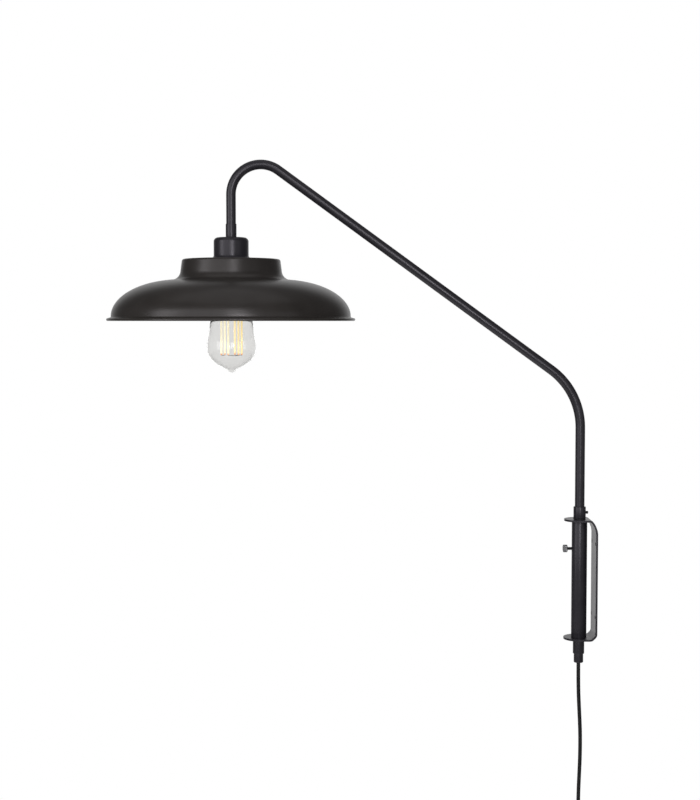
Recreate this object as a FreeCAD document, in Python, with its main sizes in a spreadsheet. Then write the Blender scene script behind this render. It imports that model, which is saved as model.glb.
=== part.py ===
import FreeCAD
import Part
import Sketcher
import math
import os
from FreeCAD import Vector

# A plug-in swing-arm wall lamp. The wall is the plane x = 0, the room is on the -X side and +Z is up.
# The origin is the middle of the bracket's four wall screws. The arm lies in the XZ plane.

KNURLS = 22
FILAMENTS = 6
COIL_LAYERS = 4

doc = FreeCAD.newDocument("swing_arm_lamp")
sheet = doc.addObject("Spreadsheet::Sheet", "Dim")

SIZES = [
    # wall bracket
    ("strip_width", 40.0), ("strip_thick", 2.5), ("bracket_height", 158.0), ("bend_outside", 10.0),
    ("spindle_offset", 21.3), ("screw_hole_dia", 5.0), ("screw_across", 30.0), ("screw_upright", 96.0),
    ("ear_hole_gap", 0.6),
    # sleeve, bushes, washers and thumb screw
    ("sleeve_dia", 20.0), ("sleeve_wall", 2.0), ("sleeve_end_gap", 0.02), ("bush_length", 12.0),
    ("running_gap", 0.04), ("seat_gap", 0.02), ("washer_thick", 0.8), ("washer_gap", 0.1),
    ("thumb_height", 40.0), ("thumb_shank_dia", 4.0), ("thumb_head_dia", 10.0), ("thumb_head_long", 5.5),
    ("thumb_head_reach", 21.3), ("thumb_socket_deep", 2.0), ("thumb_tip_gap", 0.1), ("knurl_deep", 0.35),
    # arm tube
    ("tube_dia", 12.5), ("tube_wall", 1.25), ("tube_foot_drop", 12.0), ("arm_reach", 453.5),
    ("arm_slope", 36.05), ("elbow_height", 245.6), ("elbow_radius", 93.5), ("hook_radius", 38.5),
    ("tube_fit_gap", 0.02),
    # collars at the bracket and the cord grip
    ("collar_dia", 16.0), ("collar_long", 15.2), ("set_screw_dia", 3.6), ("set_screw_reach", 11.0),
    ("hex_across", 2.0), ("hex_deep", 2.0),
    ("end_collar_dia", 14.8), ("end_collar_long", 18.6), ("end_thread_dia", 9.0), ("lead_in", 0.6),
    ("grip_dia", 12.3), ("grip_long", 11.8), ("grip_spigot_long", 5.0), ("grip_seal_dia", 7.4),
    ("grip_lip", 2.0), ("flex_dia", 5.0), ("flex_gap", 0.15),
    # head: ferrule, nipple, cup and lampholder
    ("hook_corner_drop", 113.4), ("ferrule_dia", 14.0), ("ferrule_long", 17.5), ("ferrule_socket", 8.0),
    ("nipple_dia", 10.0), ("nipple_bore", 7.0), ("nipple_in_ferrule", 8.5), ("nipple_long", 16.0),
    ("nut_across", 17.0), ("nut_thick", 3.0), ("cup_dia", 45.2), ("cup_long", 28.0), ("cup_wall", 1.2),
    ("cup_round", 5.5), ("flare_dia", 49.4), ("flare_long", 1.5), ("flare_slope", 2.0),
    ("skirt_dia", 39.4), ("skirt_wall", 3.6), ("skirt_long", 55.0), ("flange_dia", 42.6),
    ("flange_thick", 3.0), ("wiring_space", 6.0), ("insert_thick", 18.76),
    ("shell_wall", 0.4), ("shell_long", 23.0),
    ("contact_width", 7.0), ("contact_thick", 0.5), ("terminal_dia", 5.0), ("terminal_apart", 20.0),
    ("terminal_long", 5.0), ("ring_dia", 52.0), ("ring_thick", 8.0), ("thread_gap", 0.06),
    # shade, a spun shell whose dome is a quarter ellipse
    ("shade_wall", 1.0), ("neck_radius", 65.3), ("neck_taper", 7.5), ("neck_corner", 3.0),
    ("neck_height", 79.5), ("neck_fillet", 12.0), ("dome_start_radius", 67.5), ("dome_radius", 154.7),
    ("dome_height", 53.0), ("dome_base", 5.5), ("lip_radius", 160.8), ("lip_tip", 1.5),
    ("shade_hole_gap", 0.6),
    # bulb
    ("bulb_total", 142.0), ("bulb_glass_wall", 0.8), ("cap_dia", 26.2),
    ("cap_wall", 0.35), ("cap_long", 21.0), ("insulator_long", 5.0),
    ("insulator_top_dia", 11.0), ("contact_dia", 9.5), ("contact_long", 1.2), ("screw_fit_gap", 0.3),
    ("filament_ring", 13.4), ("filament_dia", 1.9), ("filament_long", 50.0), ("filament_foot", 25.0),
    ("filament_turn", 16.0), ("wire_dia", 0.7), ("stem_dia", 7.0), ("stem_flare_dia", 22.0),
    # cord, switch and plug
    ("cord_dia", 5.0), ("coil_pitch", 5.6), ("coil_mid_radius", 27.5), ("coil_full_turns", 9),
    ("coil_start_turn", 50.0), ("coil_end_turn", 90.0), ("coil_lead", 5.0),
    ("tie_width", 9.0), ("tie_thick", 1.2), ("tie_turn", 78.0), ("tie_gap", 0.4),
    ("switch_long", 58.0), ("switch_width", 26.0), ("switch_thick", 19.0), ("switch_wall", 1.8),
    ("switch_round", 5.0), ("switch_front", 4.5),
    ("rocker_long", 17.0), ("rocker_width", 10.0), ("rocker_gap", 0.3),
    ("rocker_angle", 8.0), ("rocker_pivot_deep", 2.4), ("rocker_pin_dia", 2.4), ("rocker_crown", 1.2),
    ("rocker_back", 3.0), ("rocker_pin_reach", 1.5), ("switch_edge", 1.5),
    ("boot_long", 20.0), ("boot_root_dia", 9.5), ("boot_tip_dia", 7.2), ("boot_gap", 0.45),
    ("plug_long", 36.0), ("plug_width", 35.0), ("plug_thick", 13.7), ("plug_neck_width", 14.0),
    ("plug_round", 3.0), ("pin_dia", 4.0), ("pin_long", 19.0), ("pin_apart", 18.6), ("pin_root", 8.0),
]

# Stations of the bulb's glass: height above its lowest point and radius, from the pip to the neck.
GLASS_STATIONS = [
    ("pip", 0.0, 0.0), ("pip_side", 1.6, 3.3), ("pip_root", 4.4, 6.9), ("shoulder", 11.0, 18.8),
    ("belly_low", 20.5, 28.6), ("belly", 33.0, 32.0), ("belly_high", 50.0, 30.2), ("waist", 68.0, 26.9),
    ("throat", 88.0, 21.0), ("neck", 106.0, 14.6), ("tuck", 118.0, 12.4),
]

for station, height, radius in GLASS_STATIONS:
    SIZES += [("glass_height_" + station, height), ("glass_radius_" + station, radius)]
for row, (name, value) in enumerate(SIZES, start=1):
    sheet.set("A%d" % row, name)
    sheet.set("B%d" % row, repr(value))
    sheet.setAlias("B%d" % row, name)
doc.recompute()

# Heights and places that several pieces share, as expressions of the sheet.
SPINDLE_X = "-Dim.spindle_offset"
LAMP_X = "-(Dim.spindle_offset + Dim.arm_reach)"
EAR_TOP = "(Dim.bracket_height / 2)"
EAR_FOOT = "(-Dim.bracket_height / 2)"
COLLAR_FOOT = EAR_TOP + " + Dim.washer_thick + Dim.washer_gap"
END_COLLAR_TOP = "(%s - Dim.washer_thick - Dim.washer_gap)" % EAR_FOOT
END_COLLAR_FOOT = "(%s - Dim.end_collar_long)" % END_COLLAR_TOP
GRIP_FOOT = "(%s - Dim.grip_long)" % END_COLLAR_FOOT
TUBE_FOOT = "(%s - Dim.tube_foot_drop)" % END_COLLAR_TOP
HOOK_CORNER = "(Dim.elbow_height + Dim.arm_reach * tan(Dim.arm_slope * 1 deg))"
HEAD_TOP = "(%s - Dim.hook_corner_drop)" % HOOK_CORNER
TUBE_END = "(%s - Dim.ferrule_socket)" % HEAD_TOP
CUP_TOP = "(%s - Dim.ferrule_long)" % HEAD_TOP
CUP_FOOT = "(%s - Dim.cup_long)" % CUP_TOP
RIM = "(%s - Dim.neck_height)" % CUP_FOOT
NIPPLE_TOP = "(%s + Dim.nipple_in_ferrule)" % CUP_TOP
NUT_FOOT = "(%s - Dim.cup_wall - Dim.nut_thick)" % CUP_TOP
INSERT_TOP = "(%s - Dim.skirt_wall - Dim.wiring_space)" % NUT_FOOT
INSERT_FOOT = "(%s - Dim.insert_thick)" % INSERT_TOP
CONTACT_FOOT = "(%s - Dim.contact_thick)" % INSERT_FOOT
BULB_TOP = "(%s - Dim.seat_gap)" % CONTACT_FOOT
BULB_TIP = "(%s - Dim.bulb_total)" % BULB_TOP
CAP_TOP = "(%s - Dim.contact_long - Dim.insulator_long)" % BULB_TOP
CAP_FOOT = "(%s - Dim.cap_long)" % CAP_TOP
TUBE_R = "Dim.tube_dia / 2"
COIL_TURNS = "(Dim.coil_full_turns + (Dim.coil_end_turn - Dim.coil_start_turn) / 360)"
COIL_DEEP = "(Dim.coil_pitch * %s / %d)" % (COIL_TURNS, COIL_LAYERS)
PIN_LENGTH = "(Dim.rocker_width + 2 * Dim.rocker_gap + 2 * Dim.rocker_pin_reach)"


def number(expression):
    """The value in millimetres or degrees of an expression of the sheet."""
    return float(sheet.evalExpression(expression))


def new_body(name, x="0", y="0", z="0"):
    body = doc.addObject("PartDesign::Body", name)
    body.Label = name
    for axis, place in zip("xyz", (x, y, z)):
        if place != "0":
            body.setExpression("Placement.Base." + axis, place)
    return body


def new_sketch(body, name, plane="XZ_Plane", lift=None):
    """A sketch on one of the body's own origin planes, lifted along the plane's normal."""
    sketch = body.newObject("Sketcher::SketchObject", name)
    origin_plane = [item for item in body.Origin.OriginFeatures if item.Role == plane][0]
    sketch.AttachmentSupport = [(origin_plane, "")]
    sketch.MapMode = "FlatFace"
    if lift:
        sketch.setExpression("AttachmentOffset.Base.z", lift)
    return sketch


def bind(sketch, kind, geometry, point, expression):
    """Fix a point's distance from the sketch's origin along one axis to an expression."""
    if expression == "0":
        axis = -2 if kind == "DistanceX" else -1
        sketch.addConstraint(Sketcher.Constraint("PointOnObject", geometry, point, axis))
        return
    index = sketch.addConstraint(
        Sketcher.Constraint(kind, -1, 1, geometry, point, number(expression)))
    sketch.setExpression("Constraints[%d]" % index, expression)


def arc_between(start, end, radius, turn):
    """An arc from start to end; turn is +1 when it runs anticlockwise and -1 when clockwise."""
    chord = end - start
    middle = (start + end) * 0.5
    rise = math.sqrt(max(radius ** 2 - (chord.Length / 2) ** 2, 0.0))
    across = Vector(-chord.y, chord.x, 0).normalize()
    centre = middle + across * rise * turn
    first, last = (start, end) if turn > 0 else (end, start)
    angles = [math.atan2(point.y - centre.y, point.x - centre.x) for point in (first, last)]
    if angles[1] < angles[0]:
        angles[1] += 2 * math.pi
    return Part.ArcOfCircle(Part.Circle(centre, Vector(0, 0, 1), radius), *angles)


def draw(sketch, corners, arcs=None):
    """A closed outline through corners, each a pair of expressions; arcs gives a side's radius and turn."""
    arcs = arcs or {}
    points = [Vector(number(x), number(y), 0) for x, y in corners]
    ends = []
    for side, start in enumerate(points):
        end = points[(side + 1) % len(points)]
        if side in arcs:
            radius, turn = arcs[side]
            geometry = sketch.addGeometry(arc_between(start, end, number(radius), turn), False)
            ends.append((geometry, 1, 2) if turn > 0 else (geometry, 2, 1))
        else:
            geometry = sketch.addGeometry(Part.LineSegment(start, end), False)
            ends.append((geometry, 1, 2))
    for side, (geometry, first, last) in enumerate(ends):
        after, after_first, after_last = ends[(side + 1) % len(ends)]
        sketch.addConstraint(Sketcher.Constraint("Coincident", geometry, last, after, after_first))
        bind(sketch, "DistanceX", geometry, first, corners[side][0])
        bind(sketch, "DistanceY", geometry, first, corners[side][1])
        if side in arcs:
            index = sketch.addConstraint(
                Sketcher.Constraint("Radius", geometry, number(arcs[side][0])))
            sketch.setExpression("Constraints[%d]" % index, arcs[side][0])


def draw_circle(sketch, x, y, diameter):
    geometry = sketch.addGeometry(
        Part.Circle(Vector(number(x), number(y), 0), Vector(0, 0, 1), number(diameter) / 2), False)
    bind(sketch, "DistanceX", geometry, 3, x)
    bind(sketch, "DistanceY", geometry, 3, y)
    index = sketch.addConstraint(Sketcher.Constraint("Diameter", geometry, number(diameter)))
    sketch.setExpression("Constraints[%d]" % index, diameter)


def box_corners(x_low, x_high, y_low, y_high):
    return [(x_low, y_low), (x_high, y_low), (x_high, y_high), (x_low, y_high)]


def revolve(body, sketch):
    feature = body.newObject("PartDesign::Revolution", body.Name + "_turned")
    feature.Profile = sketch
    feature.ReferenceAxis = (sketch, ["V_Axis"])
    feature.Angle = 360.0
    return feature


def pad(body, sketch, length, symmetric=False):
    feature = body.newObject("PartDesign::Pad", sketch.Name + "_pad")
    feature.Profile = sketch
    feature.setExpression("Length", length)
    if symmetric:
        feature.SideType = "Symmetric"
    return feature


def pocket(body, sketch, length=None, symmetric=False, reverse=False):
    """A pocket of the sketch, through everything when no length is given."""
    feature = body.newObject("PartDesign::Pocket", sketch.Name + "_cut")
    feature.Profile = sketch
    feature.Reversed = reverse
    if length:
        feature.setExpression("Length", length)
    else:
        feature.Type = "ThroughAll"
    if symmetric:
        feature.SideType = "Symmetric"
    return feature


def turned(name, x, corners, arcs=None):
    """A piece turned about the upright axis at x; its outline is radius and height pairs."""
    body = new_body(name, x=x)
    sketch = new_sketch(body, name + "_outline")
    draw(sketch, corners, arcs)
    revolve(body, sketch)
    return body


def ring(name, x, bore, diameter, foot, top):
    return turned(name, x, box_corners(bore + " / 2", diameter + " / 2", foot, top))


def wall_bracket():
    """A strip bent to a C: back plate, two bends and two ears whose ends are half circles."""
    body = new_body("wall_bracket")
    strip = new_sketch(body, "strip_side")
    inside = "(Dim.bend_outside - Dim.strip_thick)"
    tip = "-(Dim.spindle_offset + Dim.strip_width / 2)"
    top, foot = "Dim.bracket_height / 2", "-Dim.bracket_height / 2"
    draw(strip, [
        (tip, top), (tip, top + " - Dim.strip_thick"),
        ("-Dim.bend_outside", top + " - Dim.strip_thick"),
        ("-Dim.strip_thick", top + " - Dim.bend_outside"),
        ("-Dim.strip_thick", foot + " + Dim.bend_outside"),
        ("-Dim.bend_outside", foot + " + Dim.strip_thick"),
        (tip, foot + " + Dim.strip_thick"), (tip, foot),
        ("-Dim.bend_outside", foot), ("0", foot + " + Dim.bend_outside"),
        ("0", top + " - Dim.bend_outside"), ("-Dim.bend_outside", top)],
        {2: (inside, -1), 4: (inside, -1), 8: ("Dim.bend_outside", 1), 10: ("Dim.bend_outside", 1)})
    pad(body, strip, "Dim.strip_width", symmetric=True)
    round_ends = new_sketch(body, "round_ends", "XY_Plane")
    half = "Dim.strip_width / 2"
    far = "-(Dim.spindle_offset + Dim.strip_width)"
    start, end = Vector(-number("Dim.spindle_offset"), number(half), 0), \
        Vector(-number("Dim.spindle_offset"), -number(half), 0)
    arc = round_ends.addGeometry(arc_between(start, end, number(half), 1), False)
    sides = [(SPINDLE_X, "-" + half), (SPINDLE_X, "-Dim.strip_width"), (far, "-Dim.strip_width"),
             (far, "Dim.strip_width"), (SPINDLE_X, "Dim.strip_width"), (SPINDLE_X, half)]
    previous = (arc, 2)
    for (x, y), (next_x, next_y) in zip(sides, sides[1:]):
        line = round_ends.addGeometry(Part.LineSegment(
            Vector(number(x), number(y), 0), Vector(number(next_x), number(next_y), 0)), False)
        round_ends.addConstraint(Sketcher.Constraint("Coincident", previous[0], previous[1], line, 1))
        bind(round_ends, "DistanceX", line, 1, x)
        bind(round_ends, "DistanceY", line, 1, y)
        previous = (line, 2)
    round_ends.addConstraint(Sketcher.Constraint("Coincident", previous[0], previous[1], arc, 1))
    bind(round_ends, "DistanceX", arc, 1, SPINDLE_X)
    bind(round_ends, "DistanceY", arc, 1, half)
    bind(round_ends, "DistanceX", arc, 3, SPINDLE_X)
    pocket(body, round_ends, "2 * Dim.bracket_height", symmetric=True)
    spindle_holes = new_sketch(body, "spindle_holes", "XY_Plane")
    draw_circle(spindle_holes, SPINDLE_X, "0", "Dim.tube_dia + 2 * Dim.ear_hole_gap")
    pocket(body, spindle_holes, "2 * Dim.bracket_height", symmetric=True)
    screw_holes = new_sketch(body, "screw_holes", "YZ_Plane")
    for side in ("", "-"):
        for end in ("", "-"):
            draw_circle(screw_holes, side + "Dim.screw_across / 2", end + "Dim.screw_upright / 2",
                        "Dim.screw_hole_dia")
    pocket(body, screw_holes, "4 * Dim.strip_thick", symmetric=True)
    return body


def sleeve_and_bushes():
    """The sleeve between the ears, with a threaded hole for the thumb screw, and its two bushes."""
    top = "(%s - Dim.strip_thick - Dim.sleeve_end_gap)" % EAR_TOP
    foot = "(%s + Dim.strip_thick + Dim.sleeve_end_gap)" % EAR_FOOT
    bore = "(Dim.sleeve_dia - 2 * Dim.sleeve_wall)"
    sleeve = ring("pivot_sleeve", SPINDLE_X, bore, "Dim.sleeve_dia", foot, top)
    hole = new_sketch(sleeve, "thumb_hole", "YZ_Plane")
    draw_circle(hole, "0", "Dim.thumb_height", "Dim.thumb_shank_dia + 2 * Dim.running_gap")
    pocket(sleeve, hole)
    bush_dia = "(%s - 2 * Dim.seat_gap)" % bore
    bush_bore = "(Dim.tube_dia + 2 * Dim.running_gap)"
    upper = ring("upper_bush", SPINDLE_X, bush_bore, bush_dia, top + " - Dim.bush_length", top)
    lower = ring("lower_bush", SPINDLE_X, bush_bore, bush_dia, foot, foot + " + Dim.bush_length")
    return [sleeve, upper, lower]


def washers():
    """Thrust washers on top of the upper ear and under the lower ear."""
    bore = "(Dim.tube_dia + 2 * Dim.running_gap)"
    upper = ring("upper_washer", SPINDLE_X, bore, "Dim.collar_dia",
                 EAR_TOP, EAR_TOP + " + Dim.washer_thick")
    lower = ring("lower_washer", SPINDLE_X, bore, "Dim.end_collar_dia",
                 EAR_FOOT + " - Dim.washer_thick", EAR_FOOT)
    return [upper, lower]


def lathe_along_x(name, height, corners, arcs=None):
    """A piece turned about the level line through the spindle's axis at a height."""
    body = new_body(name, x=SPINDLE_X, z=height)
    sketch = new_sketch(body, name + "_outline")
    draw(sketch, corners, arcs)
    feature = revolve(body, sketch)
    feature.ReferenceAxis = (sketch, ["H_Axis"])
    return body


def thumb_screw():
    """The screw that locks the arm: a dark shank, and a knurled head pressed on its outer end."""
    tip = "-(%s + Dim.thumb_tip_gap)" % TUBE_R
    head_foot = "-(Dim.thumb_head_reach - Dim.thumb_head_long)"
    head_face = "-Dim.thumb_head_reach"
    shank_end = "(%s - Dim.thumb_socket_deep)" % head_foot
    radius = "Dim.thumb_shank_dia / 2"
    shank = lathe_along_x("thumb_screw_shank", "Dim.thumb_height", [
        (tip, "0"), (tip, radius), (shank_end, radius), (shank_end, "0")])
    socket = "(Dim.thumb_shank_dia / 2 + Dim.running_gap)"
    floor = "(%s - Dim.running_gap)" % shank_end
    rim = "Dim.thumb_head_dia / 2"
    chamfer = "Dim.knurl_deep * 1.5"
    head = lathe_along_x("thumb_screw_head", "Dim.thumb_height", [
        (head_foot, socket), (head_foot, "(%s - %s)" % (rim, chamfer)),
        ("(%s - %s)" % (head_foot, chamfer), rim), ("(%s + %s)" % (head_face, chamfer), rim),
        (head_face, "(%s - %s)" % (rim, chamfer)), (head_face, "0"), (floor, "0"), (floor, socket)])
    groove = new_sketch(head, "knurl_groove", "YZ_Plane")
    outside = "(%s + Dim.knurl_deep)" % rim
    draw(groove, [("0", rim + " - Dim.knurl_deep"), ("Dim.knurl_deep * 1.6", outside),
                  ("-Dim.knurl_deep * 1.6", outside)])
    pocket(head, groove)
    repeat_round(head, "X_Axis", KNURLS)
    return [shank, head]


def repeat_round(body, axis, count):
    """Copies of the body's last feature, evenly spaced round one of its origin axes."""
    doc.recompute()
    pattern = body.newObject("PartDesign::PolarPattern", body.Name + "_pattern")
    pattern.Originals = [body.Tip]
    origin_axis = [item for item in body.Origin.OriginFeatures if item.Role == axis][0]
    pattern.Axis = (origin_axis, [""])
    pattern.Angle = 360.0
    pattern.Occurrences = count
    body.Tip = pattern
    return pattern


def arm_path(body, name, foot, end):
    """The arm's centre line from the spindle up, over the elbow, up the slope, round the hook and down."""
    sketch = new_sketch(body, name)
    slope = math.radians(number("Dim.arm_slope"))
    reach = number("Dim.arm_reach")
    elbow = Vector(0, number("Dim.elbow_height") - number(foot), 0)
    crown = elbow + Vector(-reach, reach * math.tan(slope), 0)
    drop = Vector(-reach, number(end) - number(foot), 0)
    up_slope = (crown - elbow).normalize()
    elbow_cut = number("Dim.elbow_radius") * math.tan((math.pi / 2 - slope) / 2)
    hook_cut = number("Dim.hook_radius") * math.tan((math.pi / 2 + slope) / 2)
    knots = [Vector(0, 0, 0), elbow - Vector(0, elbow_cut, 0), elbow + up_slope * elbow_cut,
             crown - up_slope * hook_cut, crown - Vector(0, hook_cut, 0), drop]
    spindle = sketch.addGeometry(Part.LineSegment(knots[0], knots[1]), False)
    bend = sketch.addGeometry(arc_between(knots[1], knots[2], number("Dim.elbow_radius"), 1), False)
    ramp = sketch.addGeometry(Part.LineSegment(knots[2], knots[3]), False)
    hook = sketch.addGeometry(arc_between(knots[3], knots[4], number("Dim.hook_radius"), 1), False)
    leg = sketch.addGeometry(Part.LineSegment(knots[4], knots[5]), False)
    marks = [sketch.addGeometry(Part.Point(corner), True) for corner in (elbow, crown)]
    sketch.addConstraint([
        Sketcher.Constraint("Coincident", -1, 1, spindle, 1),
        Sketcher.Constraint("Vertical", spindle),
        Sketcher.Constraint("Tangent", spindle, 2, bend, 1),
        Sketcher.Constraint("Tangent", bend, 2, ramp, 1),
        Sketcher.Constraint("Tangent", ramp, 2, hook, 1),
        Sketcher.Constraint("Tangent", hook, 2, leg, 1),
        Sketcher.Constraint("Vertical", leg),
        Sketcher.Constraint("PointOnObject", marks[0], 1, -2),
        Sketcher.Constraint("PointOnObject", marks[0], 1, ramp),
        Sketcher.Constraint("PointOnObject", marks[1], 1, ramp)])
    bind(sketch, "DistanceY", marks[0], 1, "Dim.elbow_height - " + foot)
    bind(sketch, "DistanceX", marks[1], 1, "-Dim.arm_reach")
    bind(sketch, "DistanceY", marks[1], 1, HOOK_CORNER + " - " + foot)
    bind(sketch, "DistanceX", leg, 2, "-Dim.arm_reach")
    bind(sketch, "DistanceY", leg, 2, end + " - " + foot)
    for arc, radius in ((bend, "Dim.elbow_radius"), (hook, "Dim.hook_radius")):
        index = sketch.addConstraint(Sketcher.Constraint("Radius", arc, number(radius)))
        sketch.setExpression("Constraints[%d]" % index, radius)
    return sketch


def pipe(name, foot, end, diameters):
    """A round bar or tube that follows the arm's centre line between two heights."""
    body = new_body(name, x=SPINDLE_X, z=foot)
    path = arm_path(body, name + "_path", foot, end)
    section = new_sketch(body, name + "_section", "XY_Plane")
    for diameter in diameters:
        draw_circle(section, "0", "0", diameter)
    feature = body.newObject("PartDesign::AdditivePipe", name + "_pipe")
    feature.Profile = section
    feature.Spine = path
    return body


def main_pipes():
    tube = pipe("arm_tube", TUBE_FOOT, TUBE_END, ["Dim.tube_dia", "Dim.tube_dia - 2 * Dim.tube_wall"])
    flex = pipe("inner_flex", GRIP_FOOT, INSERT_TOP + " + Dim.running_gap", ["Dim.flex_dia"])
    return [tube, flex]


def collars():
    """The stop collar with its set screw above the bracket, and the end collar below it."""
    bore = "(Dim.tube_dia + 2 * Dim.tube_fit_gap)"
    middle = "%s + Dim.collar_long / 2" % COLLAR_FOOT
    stop = ring("stop_collar", SPINDLE_X, bore, "Dim.collar_dia",
                COLLAR_FOOT, COLLAR_FOOT + " + Dim.collar_long")
    hole = new_sketch(stop, "set_screw_hole", "YZ_Plane")
    draw_circle(hole, "0", middle, "Dim.set_screw_dia + 2 * Dim.running_gap")
    pocket(stop, hole, reverse=True)
    tip = "(%s + Dim.tube_fit_gap)" % TUBE_R
    radius = "Dim.set_screw_dia / 2"
    socket = "(Dim.hex_across / 2)"
    floor = "(Dim.set_screw_reach - Dim.hex_deep)"
    screw = lathe_along_x("collar_set_screw", middle, [
        (tip, "0"), (floor, "0"), (floor, socket),
        ("Dim.set_screw_reach", socket), ("Dim.set_screw_reach", radius), (tip, radius)])
    tube_bore = "(Dim.tube_dia / 2 + Dim.tube_fit_gap)"
    thread = "(Dim.end_thread_dia / 2 + Dim.thread_gap)"
    outside = "Dim.end_collar_dia / 2"
    end = turned("end_collar", SPINDLE_X, [
        (tube_bore, END_COLLAR_TOP), (tube_bore, TUBE_FOOT), (thread, TUBE_FOOT), (thread, END_COLLAR_FOOT),
        (outside + " - Dim.lead_in", END_COLLAR_FOOT), (outside, END_COLLAR_FOOT + " + Dim.lead_in"),
        (outside, END_COLLAR_TOP)])
    return [stop, screw, end]


def cord_grip():
    """The grip that holds the flex at the foot of the tube: a screwed nut and its rubber seal."""
    spigot_top = "(%s + Dim.grip_spigot_long)" % END_COLLAR_FOOT
    lip_top = "(%s + Dim.grip_lip)" % GRIP_FOOT
    hole = "(Dim.flex_dia / 2 + Dim.flex_gap)"
    cavity = "(Dim.grip_seal_dia / 2 + Dim.seat_gap)"
    spigot = "(Dim.end_thread_dia / 2)"
    outside = "Dim.grip_dia / 2"
    nut = turned("grip_nut", SPINDLE_X, [
        (hole, GRIP_FOOT), (outside + " - Dim.lead_in", GRIP_FOOT), (outside, GRIP_FOOT + " + Dim.lead_in"),
        (outside, END_COLLAR_FOOT), (spigot, END_COLLAR_FOOT), (spigot, spigot_top), (cavity, spigot_top),
        (cavity, lip_top), (hole, lip_top)])
    seal = ring("grip_seal", SPINDLE_X, "(Dim.flex_dia + 2 * Dim.seat_gap)", "Dim.grip_seal_dia",
                lip_top, spigot_top)
    return [nut, seal]


def ferrule_and_nipple():
    """The ferrule on the arm's end, the hollow nipple screwed in it and the nut inside the cup."""
    tube_bore = "(Dim.tube_dia / 2 + Dim.tube_fit_gap)"
    thread = "(Dim.nipple_dia / 2 + Dim.thread_gap)"
    outside = "Dim.ferrule_dia / 2"
    ferrule = turned("arm_ferrule", LAMP_X, [
        (thread, CUP_TOP), (outside, CUP_TOP), (outside, HEAD_TOP + " - Dim.lead_in"),
        (outside + " - Dim.lead_in / 2", HEAD_TOP), (tube_bore, HEAD_TOP),
        (tube_bore, TUBE_END), (thread, TUBE_END)])
    nipple = ring("threaded_nipple", LAMP_X, "Dim.nipple_bore", "Dim.nipple_dia",
                  NIPPLE_TOP + " - Dim.nipple_long", NIPPLE_TOP)
    nut = new_body("lock_nut", x=LAMP_X)
    outline = new_sketch(nut, "lock_nut_outline", "XY_Plane", lift=NUT_FOOT)
    draw(outline, [("Dim.nut_across / sqrt(3) * cos(%d deg)" % angle,
                    "Dim.nut_across / sqrt(3) * sin(%d deg)" % angle) for angle in range(15, 360, 60)])
    draw_circle(outline, "0", "0", "(Dim.nipple_dia + 2 * Dim.thread_gap)")
    pad(nut, outline, "Dim.nut_thick")
    return [ferrule, nipple, nut]


def lampholder_cup():
    """The cup over the lampholder: a shell with a rounded top and a flared foot on the shade."""
    hole = "(Dim.nipple_dia / 2 + Dim.thread_gap)"
    outside, inside = "(Dim.cup_dia / 2)", "(Dim.cup_dia / 2 - Dim.cup_wall)"
    shoulder = "(%s - Dim.cup_round)" % CUP_TOP
    crown = "(%s - Dim.cup_round)" % outside
    flare = "(%s + Dim.flare_long)" % CUP_FOOT
    return turned("lampholder_cup", LAMP_X, [
        (hole, CUP_TOP + " - Dim.cup_wall"), (crown, CUP_TOP + " - Dim.cup_wall"), (inside, shoulder),
        (inside, CUP_FOOT), ("Dim.flare_dia / 2", CUP_FOOT), ("Dim.flare_dia / 2", flare),
        (outside, flare + " + Dim.flare_slope"), (outside, shoulder), (crown, CUP_TOP), (hole, CUP_TOP)],
        {1: ("(Dim.cup_round - Dim.cup_wall)", -1), 7: ("Dim.cup_round", 1)})


def lampholder():
    """The screw lampholder: skirt, insert, screw shell, centre contact and terminal screws."""
    hole = "(Dim.nipple_dia / 2 + Dim.thread_gap)"
    outside, inside = "(Dim.skirt_dia / 2)", "(Dim.skirt_dia / 2 - Dim.skirt_wall)"
    flange = "(%s + Dim.flange_thick)" % CUP_FOOT
    foot = "(%s - Dim.skirt_long)" % NUT_FOOT
    ceiling = "(%s - Dim.skirt_wall)" % NUT_FOOT
    skirt = turned("lampholder_skirt", LAMP_X, [
        (hole, ceiling), (inside, ceiling), (inside, foot), (outside, foot), (outside, CUP_FOOT),
        ("Dim.flange_dia / 2", CUP_FOOT), ("Dim.flange_dia / 2", flange), (outside, flange),
        (outside, NUT_FOOT), (hole, NUT_FOOT)])
    seat = "(%s - Dim.seat_gap)" % inside
    insert = turned("lampholder_insert", LAMP_X, box_corners("0", seat, INSERT_FOOT, INSERT_TOP))
    holes = new_sketch(insert, "terminal_holes", "XY_Plane", lift=INSERT_TOP)
    for side in ("", "-"):
        draw_circle(holes, "0", side + "Dim.terminal_apart / 2",
                    "Dim.terminal_dia / 2 + 2 * Dim.running_gap")
    pocket(insert, holes, "Dim.terminal_long")
    shell_in = "(Dim.cap_dia / 2 + Dim.screw_fit_gap)"
    shell_out = "(%s + Dim.shell_wall)" % shell_in
    shell_foot = "(%s - Dim.shell_long)" % INSERT_FOOT
    shell = turned("screw_shell", LAMP_X, [
        (shell_in, shell_foot), (shell_out, shell_foot), (shell_out, INSERT_FOOT + " - Dim.shell_wall"),
        (seat, INSERT_FOOT + " - Dim.shell_wall"), (seat, INSERT_FOOT), (shell_in, INSERT_FOOT)])
    contact = turned("centre_contact", LAMP_X,
                     box_corners("0", "Dim.contact_width / 2", CONTACT_FOOT, INSERT_FOOT))
    return [skirt, insert, shell, contact]


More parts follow.
